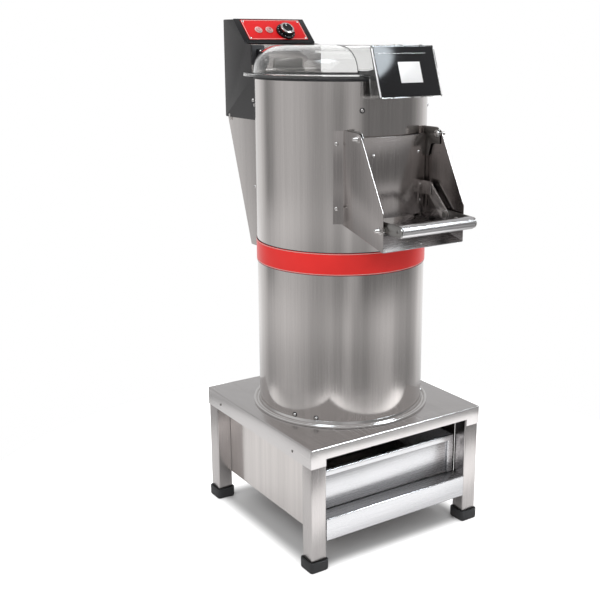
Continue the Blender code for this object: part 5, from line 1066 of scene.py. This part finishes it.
def make_pivot_parts(hand, side):
    """Nut and bolt end outside the cheek, and inside it the sleeve and the low head that hold what swings."""
    nut = hex_nut("nut", NUT_RADIUS, NUT_HEIGHT, PIVOT_RADIUS, STUD_TAIL)
    pivots = (DOOR_PIVOT, HANDLE_PIVOT)
    nuts = scatter("nuts", nut, [((side * CHUTE_OUTSIDE, *pivot), (side, 0, 0)) for pivot in pivots])
    parts = [nuts]
    for pivot, inner, outer in ((DOOR_PIVOT, LUG_INNER, LUG_OUTER), (HANDLE_PIVOT, ARM_INNER, ARM_OUTER)):
        sleeve = ring("sleeve", SLEEVE_BORE, SLEEVE_OUTSIDE, outer + FIT, CHUTE_INSIDE + FIT, PIN_STEPS, FINE_EDGE)
        head = turned(
            "head",
            [(0, inner - STUD_CROWN_TOP), (STUD_CROWN, inner - STUD_CROWN_TOP, 0.001),
             (STUD_HEAD, inner - STUD_HEAD_THICK, 0.001), (STUD_HEAD, inner - FIT, 0.0002),
             (SLEEVE_BORE + 0.0001, inner - FIT), (SLEEVE_BORE + 0.0001, CHUTE_INSIDE + FIT),
             (0, CHUTE_INSIDE + FIT)],
            PIN_STEPS,
        )
        for part in (sleeve, head):
            parts.append(lay(part, facing((0, *pivot), (side, 0, 0))))
    done(join(f"chute_{hand}_studs", *parts), "root", "bright_steel")


def make_chute_floor():
    front = (-CHUTE_FRONT, CHUTE_LIP + SHEET)
    back = (-CHUTE_ROOT, CHUTE_LIP + SHEET + CHUTE_FLOOR_RISE)
    half = CHUTE_INSIDE - FIT
    corners = [front, back, (back[0], back[1] - SHEET), (front[0], front[1] - SHEET)]
    floor = cut(plate("chute_floor_sheet", corners, "x", -half, half), drum_tool(DRUM_OUTSIDE))
    done(ease(floor), "root", "sheet_stainless", "chute_floor", finish="brushed_flat")
    screw = dome_screw("trough_screw")
    run, share = CHUTE_FRONT - CHUTE_ROOT, TROUGH_SCREW_SHARE
    slope = Vector((0, -CHUTE_FLOOR_RISE, run)).normalized()
    spot = (TROUGH_SCREW_X, -CHUTE_FRONT + run * share, CHUTE_LIP + SHEET + CHUTE_FLOOR_RISE * share)
    done(scatter("chute_floor_screw", screw, [(spot, slope)]), "root", "bright_steel")


def door_arc(name, inner, outer, low, high, half_turn):
    return arc_plate(name, inner, outer, low, high, -math.pi / 2, half_turn)


def make_door():
    door = door_arc("door_panel_sheet", DOOR_INNER, DOOR_OUTER, DOOR_LOW, DOOR_HIGH, DOOR_HALF_TURN)
    done(ease(door, FINE_EDGE, 2, 50), "door", "sheet_stainless", "door_panel", finish="brushed_chute_shaded")
    for hand, side in (("left", -1), ("right", 1)):
        near, far = sorted((side * LUG_INNER, side * LUG_OUTER))
        lug = plate(f"door_lug_{hand}", LUG_OUTLINE, "x", near, far)
        bore = rod("bore", PIVOT_BORE, (near - OVERRUN, *DOOR_PIVOT), (far + OVERRUN, *DOOR_PIVOT))
        done(ease(cut(lug, bore)), "door", "sheet_stainless", finish="dark_steel")
        make_ear(hand, side)
    bolt = dome_screw("door_bolt")
    places = [door_spot(*spot) for spot in UPPER_DOOR_BOLTS]
    places += [door_spot(side * EAR_BOLT_X, level) for side in (-1, 1) for level in EAR_BOLT_LEVELS]
    done(scatter("door_bolts", bolt, places), "door", "bright_steel")
    seal_low, seal_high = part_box("door_seal")
    seal_turn = DOOR_HALF_TURN - SHEET / DOOR_INNER
    seal = door_arc(
        "door_seal_rubber", DRUM_OUTSIDE + FIT, DOOR_INNER - FIT, seal_low.z, seal_high.z, seal_turn
    )
    half = DRUM_RADIUS * math.sin(seal_turn) - SEAL_EDGE
    opening = plate(
        "seal_opening",
        [(x, z, WINDOW_ROUND) for x, z in ((-half, DOOR_LOW + SEAL_EDGE), (half, DOOR_LOW + SEAL_EDGE),
                                           (half, DOOR_HIGH - SEAL_EDGE), (-half, DOOR_HIGH - SEAL_EDGE))],
        "y", -1.5 * DRUM_RADIUS, -0.5 * DRUM_RADIUS,
    )
    done(ease(cut(seal, opening)), "door", "black_rubber", "door_seal")


def door_spot(x, level):
    turn = -math.acos(x / DOOR_OUTER)
    out = Vector((math.cos(turn), math.sin(turn), 0))
    return out * DOOR_OUTER + Vector((0, 0, level)), out


def make_ear(hand, side):
    """The bent bracket on the door that holds the link's pin."""
    near, far = sorted((side * EAR_INNER, side * EAR_OUTER))
    y, z = EAR_PIVOT
    corners = [(-EAR_ROOT, z + EAR_RISE), (y - EAR_REACH, z + EAR_RISE, 0.006),
               (y - EAR_REACH, z - EAR_RISE, 0.004), (-EAR_ROOT, z - EAR_RISE)]
    ear = cut(plate(f"door_ear_{hand}", corners, "x", near, far), drum_tool(DOOR_OUTER - FIT))
    inwards = side * (EAR_INNER - EAR_FOOT_WIDE)
    foot_turns = sorted(-math.acos(x / DOOR_OUTER) for x in (inwards, side * EAR_OUTER))
    middle, half = (foot_turns[0] + foot_turns[1]) / 2, (foot_turns[1] - foot_turns[0]) / 2
    foot = arc_plate(
        "ear_foot", DOOR_OUTER - 0.0002, DOOR_OUTER + EAR_FOOT_THICK, z - EAR_FOOT_DROP, z + EAR_RISE, middle, half, 8
    )
    ease(weld(ear, foot), FINE_EDGE, 2, 50)
    pin = turned(
        "pin",
        [(0, EAR_OUTER - 0.0008), (PIVOT_RADIUS, EAR_OUTER - 0.0008), (PIVOT_RADIUS, LINK_OUTER + FIT),
         (PIN_HEAD, LINK_OUTER + FIT, 0.0003), (PIN_HEAD, LINK_OUTER + PIN_HEAD_THICK, 0.0008),
         (0, LINK_OUTER + PIN_HEAD_THICK)],
        PIN_STEPS,
    )
    lay(pin, facing((0, *EAR_PIVOT), (side, 0, 0)))
    done(join(f"door_ear_{hand}", ear, pin), "door", "sheet_stainless", finish="brushed_chute_shaded")


def make_handle():
    for hand, side in (("left", -1), ("right", 1)):
        near, far = sorted((side * ARM_INNER, side * ARM_OUTER))
        arm = bar_plate(f"handle_arm_{hand}_plate", LINK_PIVOT, BAR_CENTRE, ARM_HALF, near, far)
        bore = rod("bore", PIVOT_BORE, (near - OVERRUN, *HANDLE_PIVOT), (far + OVERRUN, *HANDLE_PIVOT))
        ease(cut(arm, bore))
        pin = turned(
            "pin",
            [(0, LINK_INNER - PIN_HEAD_THICK), (PIN_HEAD, LINK_INNER - PIN_HEAD_THICK, 0.0008),
             (PIN_HEAD, LINK_INNER - FIT, 0.0003),
             (PIVOT_RADIUS, LINK_INNER - FIT), (PIVOT_RADIUS, ARM_INNER + 0.0008), (0, ARM_INNER + 0.0008)],
            PIN_STEPS,
        )
        lay(pin, facing((0, *LINK_PIVOT), (side, 0, 0)))
        screw = dome_screw("bar_screw")
        lay(screw, facing((side * ARM_OUTER, *BAR_CENTRE), (side, 0, 0)))
        done(join(f"handle_arm_{hand}_plate", pin, screw, arm), "handle", "bright_steel", f"handle_arm_{hand}",
             finish="dark_steel")
        make_link(hand, side)
    bar = turned(
        "handle_bar_grip",
        [(0, -BAR_HALF), (BAR_RADIUS, -BAR_HALF, 0.0035), (BAR_RADIUS, BAR_HALF, 0.0035), (0, BAR_HALF)], 64
    )
    lay(bar, facing((0, *BAR_CENTRE), (1, 0, 0)))
    done(bar, "handle", "bright_steel", "handle_bar", finish="satin_bar")


def make_link(hand, side):
    near, far = sorted((side * LINK_INNER, side * LINK_OUTER))
    start, end = Vector(LINK_PIVOT), Vector(EAR_PIVOT)
    slot_start = end - (end - start).normalized() * SLOT_RUN
    link = bar_plate(f"link_{hand}_plate", start, end, LINK_HALF, near, far)
    bore = rod("bore", PIVOT_BORE, (near - OVERRUN, *start), (far + OVERRUN, *start))
    slot = bar_plate("slot", slot_start, end, PIVOT_RADIUS + 0.0012, near - OVERRUN, far + OVERRUN)
    done(ease(cut(link, bore, slot), 0.0005, 3), "links", "bright_steel", f"link_{hand}")


# Lid


def dome_profile(inset):
    rise, run = LID_TOP - FLANGE_TOP, DOME_FOOT - DOME_FLAT
    points = []
    for i in range(DOME_STEPS + 1):
        turn = math.pi / 2 * i / DOME_STEPS
        out, up = math.sin(turn) ** (2 / DOME_POWER), math.cos(turn) ** (2 / DOME_POWER)
        points.append((DOME_FLAT + run * out - inset, FLANGE_TOP + rise * up - inset))
    return points


def rake_point(along, depth):
    y, z = HOOD_TOP_FRONT
    return (
        y - math.sin(HOOD_RAKE) * along + math.cos(HOOD_RAKE) * depth,
        z - math.cos(HOOD_RAKE) * along - math.sin(HOOD_RAKE) * depth,
    )


def make_lid():
    lip_inside = LID_FLANGE_RADIUS - LID_WALL
    under = FLANGE_TOP - LID_WALL
    outer = [(0, LID_TOP), *dome_profile(0), (LID_FLANGE_RADIUS, FLANGE_TOP, 0.002), (LID_FLANGE_RADIUS, LIP_LEVEL),
             (0, LIP_LEVEL)]
    inner = [(0, LID_TOP - LID_WALL), *dome_profile(LID_WALL)[:-1], (DOME_FOOT - LID_WALL, under),
             (lip_inside, under), (lip_inside, LIP_LEVEL - OVERRUN), (0, LIP_LEVEL - OVERRUN)]
    skirt_back = HOOD_BOTTOM_FRONT[0] + HOOD_SKIRT
    root = -DOME_FLAT / 2
    hood_outline = [(root, LID_TOP), HOOD_TOP_FRONT, HOOD_BOTTOM_FRONT, (skirt_back, HOOD_BOTTOM_FRONT[1]),
                    (skirt_back, LIP_LEVEL), (root, LIP_LEVEL)]
    hood = plate("hood", hood_outline, "x", -HOOD_HALF, HOOD_HALF)
    ease_edges(hood, HOOD_ROUND, 5, lambda middle, _: abs(abs(middle.x) - HOOD_HALF) < FIT
               and (middle.z > LID_TOP - FIT or middle.y < skirt_back and middle.z > HOOD_BOTTOM_FRONT[1] + FIT))
    lid = weld(turned("lid_clear", outer, 128), hood)
    face = PLATE_THICK + FIT + LID_WALL
    inside_outline = [
        (0, LID_TOP - LID_WALL), (rake_point(LID_WALL / math.cos(HOOD_RAKE), face)[0], LID_TOP - LID_WALL),
        rake_point(HOOD_LENGTH + OVERRUN, face), (0, HOOD_BOTTOM_FRONT[1] - OVERRUN),
    ]
    half = HOOD_HALF - LID_WALL
    inside = plate("hood_inside", inside_outline, "x", -half, half)
    ease_edges(inside, 0.003, 4, lambda middle, _: abs(abs(middle.x) - half) < FIT and middle.z > LID_TOP - 0.005)
    pocket = plate(
        "plate_pocket",
        [rake_point(along, depth) for along, depth in (
            (-OVERRUN, -OVERRUN), (-OVERRUN, PLATE_THICK + FIT),
            (PLATE_START + PLATE_HEIGHT + FIT, PLATE_THICK + FIT), (PLATE_START + PLATE_HEIGHT + FIT, -OVERRUN))],
        "x", -PLATE_HALF - FIT, PLATE_HALF + FIT,
    )
    cut(lid, turned("dome_inside", inner, 128), inside, pocket)
    done(lid, "lid", "clear_plastic", "lid", sharp=30)
    make_front_plate()
    make_gasket()
    make_hinge()


def on_rake():
    """From a piece drawn flat, X across and -Y down, to the hood's raked front."""
    return Matrix.Translation((0, *HOOD_TOP_FRONT)) @ Matrix.Rotation(math.pi / 2 - HOOD_RAKE, 4, "X")


def make_front_plate():
    top, bottom = -PLATE_START, -PLATE_START - PLATE_HEIGHT
    corners = [(-PLATE_HALF, top, 0.004), (PLATE_HALF, top, 0.004), (PLATE_HALF, bottom, 0.002),
               (-PLATE_HALF, bottom, 0.002)]
    panel = ease(plate("lid_front_plate_panel", corners, "z", -PLATE_THICK, 0), 0.0005, 3)
    done(lay(panel, on_rake()), "lid", "black_panel", "lid_front_plate")
    # A bright steel rod along the plate's fold: a painted highlight where the bend catches the light
    level = top - CREASE_DOWN
    crease = rod("crease", CREASE_RADIUS, (-PLATE_HALF + 0.004, level, 0), (PLATE_HALF * CREASE_SHARE, level, 0), 12)
    done(lay(crease, on_rake()), "lid", "black_panel", finish="bright_steel").name = "lid_front_crease_highlight"
    blank = plate("lid_blank_plate", [(x, y, 0.001) for x, y in LABEL_CORNERS], "z", 0.0001, 0.0008)
    done(lay(ease(blank, 0.0002), on_rake()), "lid", "pale_plastic", finish="white_plate")
    trims = []
    for side in (-1, 1):
        near, far = sorted((side * (PLATE_HALF + TRIM_GAP), side * (HOOD_HALF - FIT)))
        trims.append(ease(block("trim", (near, bottom, -TRIM_DEPTH), (far, -TRIM_TOP, FIT)), 0.0010, 3))
    done(lay(join("lid_hood_trims", *trims), on_rake()), "lid", "clear_plastic", finish="white_plate")
    insert = block("lid_hood_insert", INSERT_LOW, INSERT_HIGH)
    done(lay(ease(insert, 0.0008, 3), on_rake()), "lid", "black_rubber")
    make_hood_seams()
    screw = dome_screw("lid_screw")
    places = [((x, LID_SCREW_Y, LID_TOP), (0, 0, 1)) for x in LID_SCREW_X]
    done(scatter("lid_hood_screws", screw, places), "lid", "bright_steel", finish="dark_steel")


def make_hood_seams():
    """A thin dark cord along the line where the hood's sides meet the dome."""
    seams = []
    for side in (-1, 1):
        path = []
        for radius, level in dome_profile(0):
            path.append((side * HOOD_HALF, -math.sqrt(radius**2 - HOOD_HALF**2), level))
        path.append((side * HOOD_HALF, -math.sqrt(LID_FLANGE_RADIUS**2 - HOOD_HALF**2), FLANGE_TOP))
        seams.append(tube("seam", SEAM_RADIUS, path))
    done(join("lid_hood_seams", *seams), "lid", "black_rubber", sharp=60)


def tube(name, radius, path):
    """A cord of this radius along a row of points."""
    bpy.ops.curve.primitive_bezier_curve_add()
    cord = bpy.context.object
    cord.name = name
    cord.data.splines.clear()
    spline = cord.data.splines.new("POLY")
    spline.points.add(len(path) - 1)
    for point, spot in zip(spline.points, path):
        point.co = (*spot, 1)
    cord.location = (0, 0, 0)
    cord.data.dimensions = "3D"
    cord.data.bevel_depth = radius
    cord.data.bevel_resolution = 3
    cord.data.use_fill_caps = True
    only(cord)
    bpy.ops.object.convert(target="MESH")
    cord = bpy.context.object
    bpy.ops.object.mode_set(mode="EDIT")
    tidy_normals()
    bpy.ops.object.mode_set(mode="OBJECT")
    return cord


def make_gasket():
    """A channel over the drum's rim, with a short flap outside it and a longer one inside."""
    top, slot_top = FLANGE_TOP - LID_WALL - FIT, DRUM_TOP + FIT
    wall = DRUM_RADIUS - DRUM_WALL
    profile = [(GASKET_OUTER, top, 0.001), (GASKET_OUTER, GASKET_FLAP, 0.001), (DRUM_OUTSIDE, GASKET_FLAP),
               (DRUM_OUTSIDE, slot_top), (wall - FIT, slot_top), (wall - FIT, GASKET_BOTTOM),
               (GASKET_INNER, GASKET_BOTTOM, 0.001), (GASKET_INNER, top, 0.001)]
    done(turned("rim_gasket_rubber", profile, DRUM_STEPS), "root", "black_rubber", "rim_gasket")


def make_hinge():
    low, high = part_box("lid_hinge_leaf")
    y, z = HINGE_AXIS[1:]
    leaf = block("lid_hinge_leaf_plate", (low.x, low.y, FLANGE_TOP + FIT), (high.x, y, FLANGE_TOP + 0.0033))
    clear = BRACKET_HALF + FIT
    notch = block("notch", (-clear, y - 0.0085, FLANGE_TOP - OVERRUN), (clear, y + OVERRUN, FLANGE_TOP + OVERRUN))
    dome = drum_tool(DOME_FOOT + FIT)
    ease(cut(leaf, notch, dome))
    knuckles = [
        lay(ring("knuckle", 0.0043, KNUCKLE_RADIUS, clear, LEAF_HALF, PIN_STEPS, 0.0005),
            facing((0, y, z), (side, 0, 0)))
        for side in (-1, 1)
    ]
    done(join("lid_hinge_leaf_plate", *knuckles, leaf), "lid", "bright_steel", "lid_hinge_leaf")
    low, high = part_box("hinge_bracket")
    bracket = block(
        "hinge_bracket_plate", (-BRACKET_HALF, y + 0.004, z - KNUCKLE_RADIUS), (BRACKET_HALF, high.y, high.z)
    )
    ease(bracket, 0.0008)
    middle = ring("middle_knuckle", 0.0035, KNUCKLE_RADIUS, -BRACKET_HALF, BRACKET_HALF, PIN_STEPS, 0.0005)
    lay(middle, facing((0, y, z), (1, 0, 0)))
    pin = ease(rod("hinge_pin", 0.004, (-HINGE_PIN_HALF, y, z), (HINGE_PIN_HALF, y, z), 24), 0.0008)
    done(join("hinge_bracket_plate", middle, pin, bracket), "root", "bright_steel", "hinge_bracket",
         finish="dark_steel")
    switch = ease(node_block("lid_switch_block", "lid_switch"), 0.0022, 4)
    low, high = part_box("lid_switch")
    done(switch, "root", "black_panel", "lid_switch")
    mount = ease(block("lid_switch_mount", SWITCH_MOUNT_LOW, SWITCH_MOUNT_HIGH), 0.0005)
    done(mount, "root", "black_panel", finish="black_rubber")
    middle = ((low.x + high.x) / 2, low.y, (low.z + high.z) / 2)
    plunger = dome_screw("plunger", cross=False)
    screw = dome_screw("switch_screw")
    tip = scatter("lid_switch_plunger", plunger, [(middle, (0, -1, 0))])
    screws = scatter(
        "switch_screws", screw,
        [((x, low.y, z), (0, -1, 0)) for x, z in ((low.x + 0.004, high.z - 0.004), (high.x - 0.004, low.z + 0.004))],
    )
    done(join("lid_switch_plunger", screws, tip), "root", "bright_steel")


# Control box


def on_panel():
    """From a piece drawn flat, X across, -Y down the slope and Z out of it, to the control panel."""
    return Matrix.Translation(PANEL_EDGE) @ Matrix.Rotation(PANEL_SLOPE, 4, "X")


def make_control_box():
    box = plate("control_box_housing", BOX_OUTLINE, "x", -BOX_HALF, BOX_HALF)
    ease_edges(box, 0.0015, 3, lambda middle, _: abs(abs(middle.x) - BOX_HALF) < FIT and middle.y > 0.205)
    top, back, bottom = BOX_TOP - BOX_WALL, BOX_BACK - BOX_WALL, BOX_BOTTOM + BOX_WALL
    hollow = plate(
        "hollow", [(0.08, top), (back, top), (back, bottom), (0.08, bottom)], "x", BOX_WALL - BOX_HALF,
        BOX_HALF - BOX_WALL,
    )
    pipe = rod("pipe", PIPE_RADIUS + PIPE_CLEARANCE, (PIPE_X, PIPE_Y, 0.95), (PIPE_X, PIPE_Y, 0.99))
    cut(box, hollow, drum_tool(DRUM_OUTSIDE, 0.9, BOX_STEP + FIT), pipe)
    done(box, "root", "anthracite_paint", "control_box")
    make_panel()
    make_rear_cover()
    make_box_screws()


def make_box_screws():
    bolt = dome_screw("box_bolt")
    places = []
    for side in (-1, 1):
        places.append(((side * BOX_HALF, *BOX_BOLT), (side, 0, 0)))
        places += [((side * COVER_HALF, *bolt_spot), (side, 0, 0)) for bolt_spot in COVER_BOLTS]
    done(scatter("box_bolts", bolt, places), "root", "bright_steel")
    screw = dome_screw("back_screw")
    places = [
        ((x, BOX_BACK, level), (0, 1, 0)) for x in (-BACK_SCREW_X, BACK_SCREW_X) for level in BACK_SCREW_LEVELS
    ]
    done(scatter("box_back_screws", screw, places), "root", "bright_steel")
    tab = block("tab", (-TAB_HIGH[0], *TAB_LOW[1:]), (-TAB_LOW[0], *TAB_HIGH[1:]))
    mirror = block("tab_mirror", TAB_LOW, TAB_HIGH)
    done(ease(join("box_tabs", tab, mirror), 0.0003), "root", "bright_steel")


def make_panel():
    frame_plate = plate(
        "panel_frame_plate",
        [(-BOX_HALF, 0, 0.001), (BOX_HALF, 0, 0.001), (BOX_HALF, -PANEL_LENGTH, 0.001),
         (-BOX_HALF, -PANEL_LENGTH, 0.001)], "z", -PANEL_THICK, 0,
    )
    top, bottom = -FACE_MARGIN, -FACE_MARGIN - FACE_LENGTH
    face_corners = [(-FACE_HALF, top), (FACE_HALF, top), (FACE_HALF, bottom), (-FACE_HALF, bottom)]
    face = plate("panel_face_film", [(*corner, 0.002) for corner in face_corners], "z", FIT, FACE_TOP)
    for panel in (ease(frame_plate, FINE_EDGE), ease(face, 0.0002)):
        for x in BUTTONS.values():
            cut(panel, rod("way", BUTTON_RADIUS + FIT, (x, -BUTTON_DOWN, -OVERRUN), (x, -BUTTON_DOWN, OVERRUN)))
    done(lay(frame_plate, on_panel()), "root", "black_panel", "panel_frame")
    done(lay(face, on_panel()), "root", "red_film", "panel_face")
    make_face_border(top, bottom)
    make_knob()
    for name, x in BUTTONS.items():
        make_button(name, x)
    screw = dome_screw("face_screw")
    places = [
        ((x, -FACE_MARGIN - down, FACE_TOP), (0, 0, 1))
        for x in (-FACE_SCREW_X, FACE_SCREW_X) for down in FACE_SCREWS_DOWN
    ]
    done(lay(scatter("panel_screws", screw, places), on_panel()), "root", "bright_steel")


def make_face_border(top, bottom):
    """The thin pale line printed inside the face's edge."""
    strips = []
    left, right = BORDER_INSET - FACE_HALF, FACE_HALF - BORDER_INSET
    low_line, high_line = bottom + BORDER_INSET, top - BORDER_INSET
    for low, high in (
        ((left, low_line), (right, low_line + BORDER_WIDE)), ((left, high_line - BORDER_WIDE), (right, high_line)),
        ((left, low_line), (left + BORDER_WIDE, high_line)), ((right - BORDER_WIDE, low_line), (right, high_line)),
    ):
        strips.append(block("strip", (*low, FACE_TOP - BORDER_THICK), (*high, FACE_TOP + BORDER_THICK)))
    done(lay(weld(strips[0], *strips[1:]), on_panel()), "root", "pale_plastic").name = "panel_face_border"


def make_knob():
    x, down = KNOB_PLACE
    base = FACE_TOP + FIT
    skirt = turned("timer_knob_skirt", KNOB_SKIRT, KNOB_STEPS)
    body = turned("timer_knob_cap", KNOB_CAP, KNOB_STEPS)
    rib = ease(rod("rib", KNOB_RIB_RADIUS, KNOB_RIB_FOOT, KNOB_RIB_TOP, 12), 0.0005)
    knob = join("timer_knob_cap", *turned_copies(rib, [2 * math.pi * i / KNOB_RIBS for i in range(KNOB_RIBS)]), body)
    cap_ring = turned("timer_knob_ring", KNOB_RING, KNOB_STEPS)
    pointer = ease(block("pointer", (-0.0007, 0.0070, 0.0144), (0.0007, 0.0120, 0.0152)), 0.0002)
    tick = block("tick", TICK_LOW, TICK_HIGH)
    ticks = turned_copies(tick, [math.radians(FIRST_TICK - TICK_STEP * i) for i in range(TICKS)])
    place = on_panel() @ Matrix.Translation((x, -down, base))
    black = join("timer_knob_body", skirt, knob)
    done(lay(black, place), "knob", "black_panel", "timer_knob", finish="black_panel")
    done(lay(join("timer_knob_marks", *ticks, pointer), place), "knob", "pale_plastic", finish="white_plate")
    done(lay(cap_ring, place), "knob", "bright_steel", finish="bright_steel")


def make_button(name, x):
    base = FACE_TOP + FIT
    place = on_panel() @ Matrix.Translation((x, -BUTTON_DOWN, base))
    button = turned(
        f"{name}_button_head",
        [(0, -0.010), (BUTTON_RADIUS, -0.010), (BUTTON_RADIUS, BUTTON_HEIGHT - 0.0012, 0.0008),
         (BUTTON_RADIUS * 0.72, BUTTON_HEIGHT - 0.0002, 0.0008), (0, BUTTON_HEIGHT - 0.0006)], 48,
    )
    done(lay(button, place), f"{name}_plunger", "pale_plastic", f"{name}_button", finish="rose_plastic")
    top = BUTTON_HEIGHT - 0.0008
    if name == "start":
        mark = block("mark", (-0.0006, -0.0026, top - 0.0004), (0.0006, 0.0026, top + 0.0004))
    else:
        mark = ring("mark", 0.0016, 0.0027, top - 0.0004, top + 0.0004, 36)
    mark.name = f"{name}_button_mark"
    done(lay(mark, place), f"{name}_plunger", "black_panel")
    bezel = ring(f"{name}_button_bezel", BUTTON_RADIUS + FIT, BEZEL_RADIUS, -FIT, 0.0025, 48, 0.0006)
    done(lay(bezel, place), "root", "pale_plastic")


def make_rear_cover():
    cover = plate("rear_cover_sheet", COVER_OUTLINE, "x", -COVER_HALF, COVER_HALF)
    ease_edges(cover, 0.0020, 4, lambda middle, _: abs(abs(middle.x) - COVER_HALF) < FIT and middle.y > 0.255)
    taper = (COVER_OUTLINE[0][0] - COVER_OUTLINE[1][0]) / (COVER_OUTLINE[0][1] - COVER_OUTLINE[1][1])
    wall = SHEET * math.hypot(1, taper)
    top, bottom = COVER_OUTLINE[0][1], COVER_OUTLINE[1][1]
    hollow = plate(
        "hollow",
        [(COVER_OUTLINE[0][0] - wall + taper * OVERRUN, top + OVERRUN),
         (COVER_OUTLINE[1][0] - wall + taper * SHEET, bottom + SHEET), (0.08, bottom + SHEET),
         (0.08, top + OVERRUN)],
        "x", SHEET - COVER_HALF, COVER_HALF - SHEET,
    )
    holes = [
        rod(name, radius, (x, PIPE_Y, bottom - OVERRUN), (x, PIPE_Y, bottom + OVERRUN))
        for name, radius, x in (
            ("gland_hole", GLAND_RADIUS + FIT, GLAND_X), ("pipe_hole", PIPE_RADIUS + PIPE_CLEARANCE, PIPE_X),
        )
    ]
    cut(cover, hollow, drum_tool(DRUM_OUTSIDE), drum_tool(0.2021, bottom - OVERRUN, 0.7093), *holes)
    done(cover, "root", "brushed_stainless", "rear_cover")
    gland = turned(
        "gland_body",
        [(GLAND_BORE, 0.0115), (GLAND_RADIUS, 0.0115), (GLAND_RADIUS, -FIT), (0.012, -FIT, 0.0005),
         (0.012, -0.009, 0.001), (0.0085, -0.027, 0.001), (GLAND_BORE, -0.027)], PIN_STEPS,
    )
    nut = rod("gland_nut", 0.0120, (0, 0, -0.0085), (0, 0, -0.0010), 6)
    lay(join("cable_gland_body", ease(nut, 0.0006, 2, 30), gland), Matrix.Translation((GLAND_X, PIPE_Y, bottom)))
    done(bpy.context.object, "root", "black_rubber", "cable_gland")
    make_water_pipe()


def make_water_pipe():
    """A tube up inside the cover, over a bend and into the drum: a circle drawn along its way."""
    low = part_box("water_pipe")[0]
    bpy.ops.mesh.primitive_circle_add(vertices=28, radius=PIPE_RADIUS, location=(PIPE_X, PIPE_Y, low.z))
    pipe = bpy.context.object
    pipe.name = "water_pipe_tube"
    bpy.ops.object.transform_apply(location=True, rotation=True, scale=True)
    bpy.ops.object.mode_set(mode="EDIT")
    bpy.ops.mesh.select_all(action="SELECT")
    straight = PIPE_LEVEL - PIPE_BEND - low.z
    bpy.ops.mesh.extrude_region_move(TRANSFORM_OT_translate={"value": (0, 0, straight)})
    bend = (PIPE_X, PIPE_Y - PIPE_BEND, PIPE_LEVEL - PIPE_BEND)
    bpy.ops.mesh.spin(steps=10, angle=math.pi / 2 * SPIN_HAND, center=bend, axis=(1, 0, 0))
    bpy.ops.mesh.extrude_region_move(TRANSFORM_OT_translate={"value": (0, low.y - PIPE_Y + PIPE_BEND, 0)})
    tidy_normals()
    bpy.ops.object.mode_set(mode="OBJECT")
    modify(pipe, "SOLIDIFY", thickness=PIPE_WALL, offset=-1)
    done(pipe, "root", "bright_steel", "water_pipe", sharp=50)


# Disc


def make_disc():
    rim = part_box("peeling_disc")[1].x
    disc = turned(
        "peeling_disc_plate",
        [(0, DISC_TOP), (rim * 0.85, DISC_TOP - DISC_DISH, 0.03), (rim, DISC_TOP, 0.001),
         (rim, DISC_TOP - DISC_RIM, 0.001), (HUB_RADIUS + DISC_DISH, DISC_TOP - DISC_RIM - DISC_DISH),
         (HUB_RADIUS, DISC_TOP - HUB_DROP), (HUB_BORE, DISC_TOP - HUB_DROP),
         (HUB_BORE, DISC_TOP - HUB_BORE_DROP), (0, DISC_TOP - HUB_BORE_DROP)],
        ROUND_STEPS,
    )
    for i in range(WAVES):
        start, end = (WAVE_START, 0, 0), (WAVE_START + WAVE_LENGTH, 0, 0)
        wave = ease(rod("wave", WAVE_RADIUS, start, end, 40), 0.010, 4)
        lay(wave, Matrix.Rotation(2 * math.pi * i / WAVES, 4, "Z") @ Matrix.Translation((0, 0, DISC_TOP - DISC_DISH))
            @ Matrix.Diagonal((1, 1, 0.5, 1)))
        weld(disc, wave)
    done(disc, "spindle", "abrasive_grit", "peeling_disc", sharp=45)


def finish_cad_nodes():
    """Every node that stays in sight gets the finish of its slot."""
    for row in frame["record"]["subparts"]:
        node = NODES[row["node"]]
        node.data.materials.clear()
        node.data.materials.append(FINISHES[row["material_slot"]])


bpy.ops.object.select_all(action="DESELECT")
bpy.context.scene.view_settings.view_transform = "Standard"
FINISHES = make_finishes()
SPIN_HAND = find_spin_hand()
make_camera()
make_world()
make_lamps()
make_floor()
finish_cad_nodes()
make_table_top()
make_legs()
make_front_rail()
make_drawer()
make_stand_screws()
make_drum()
make_chute()
make_door()
make_handle()
make_lid()
make_control_box()
make_disc()
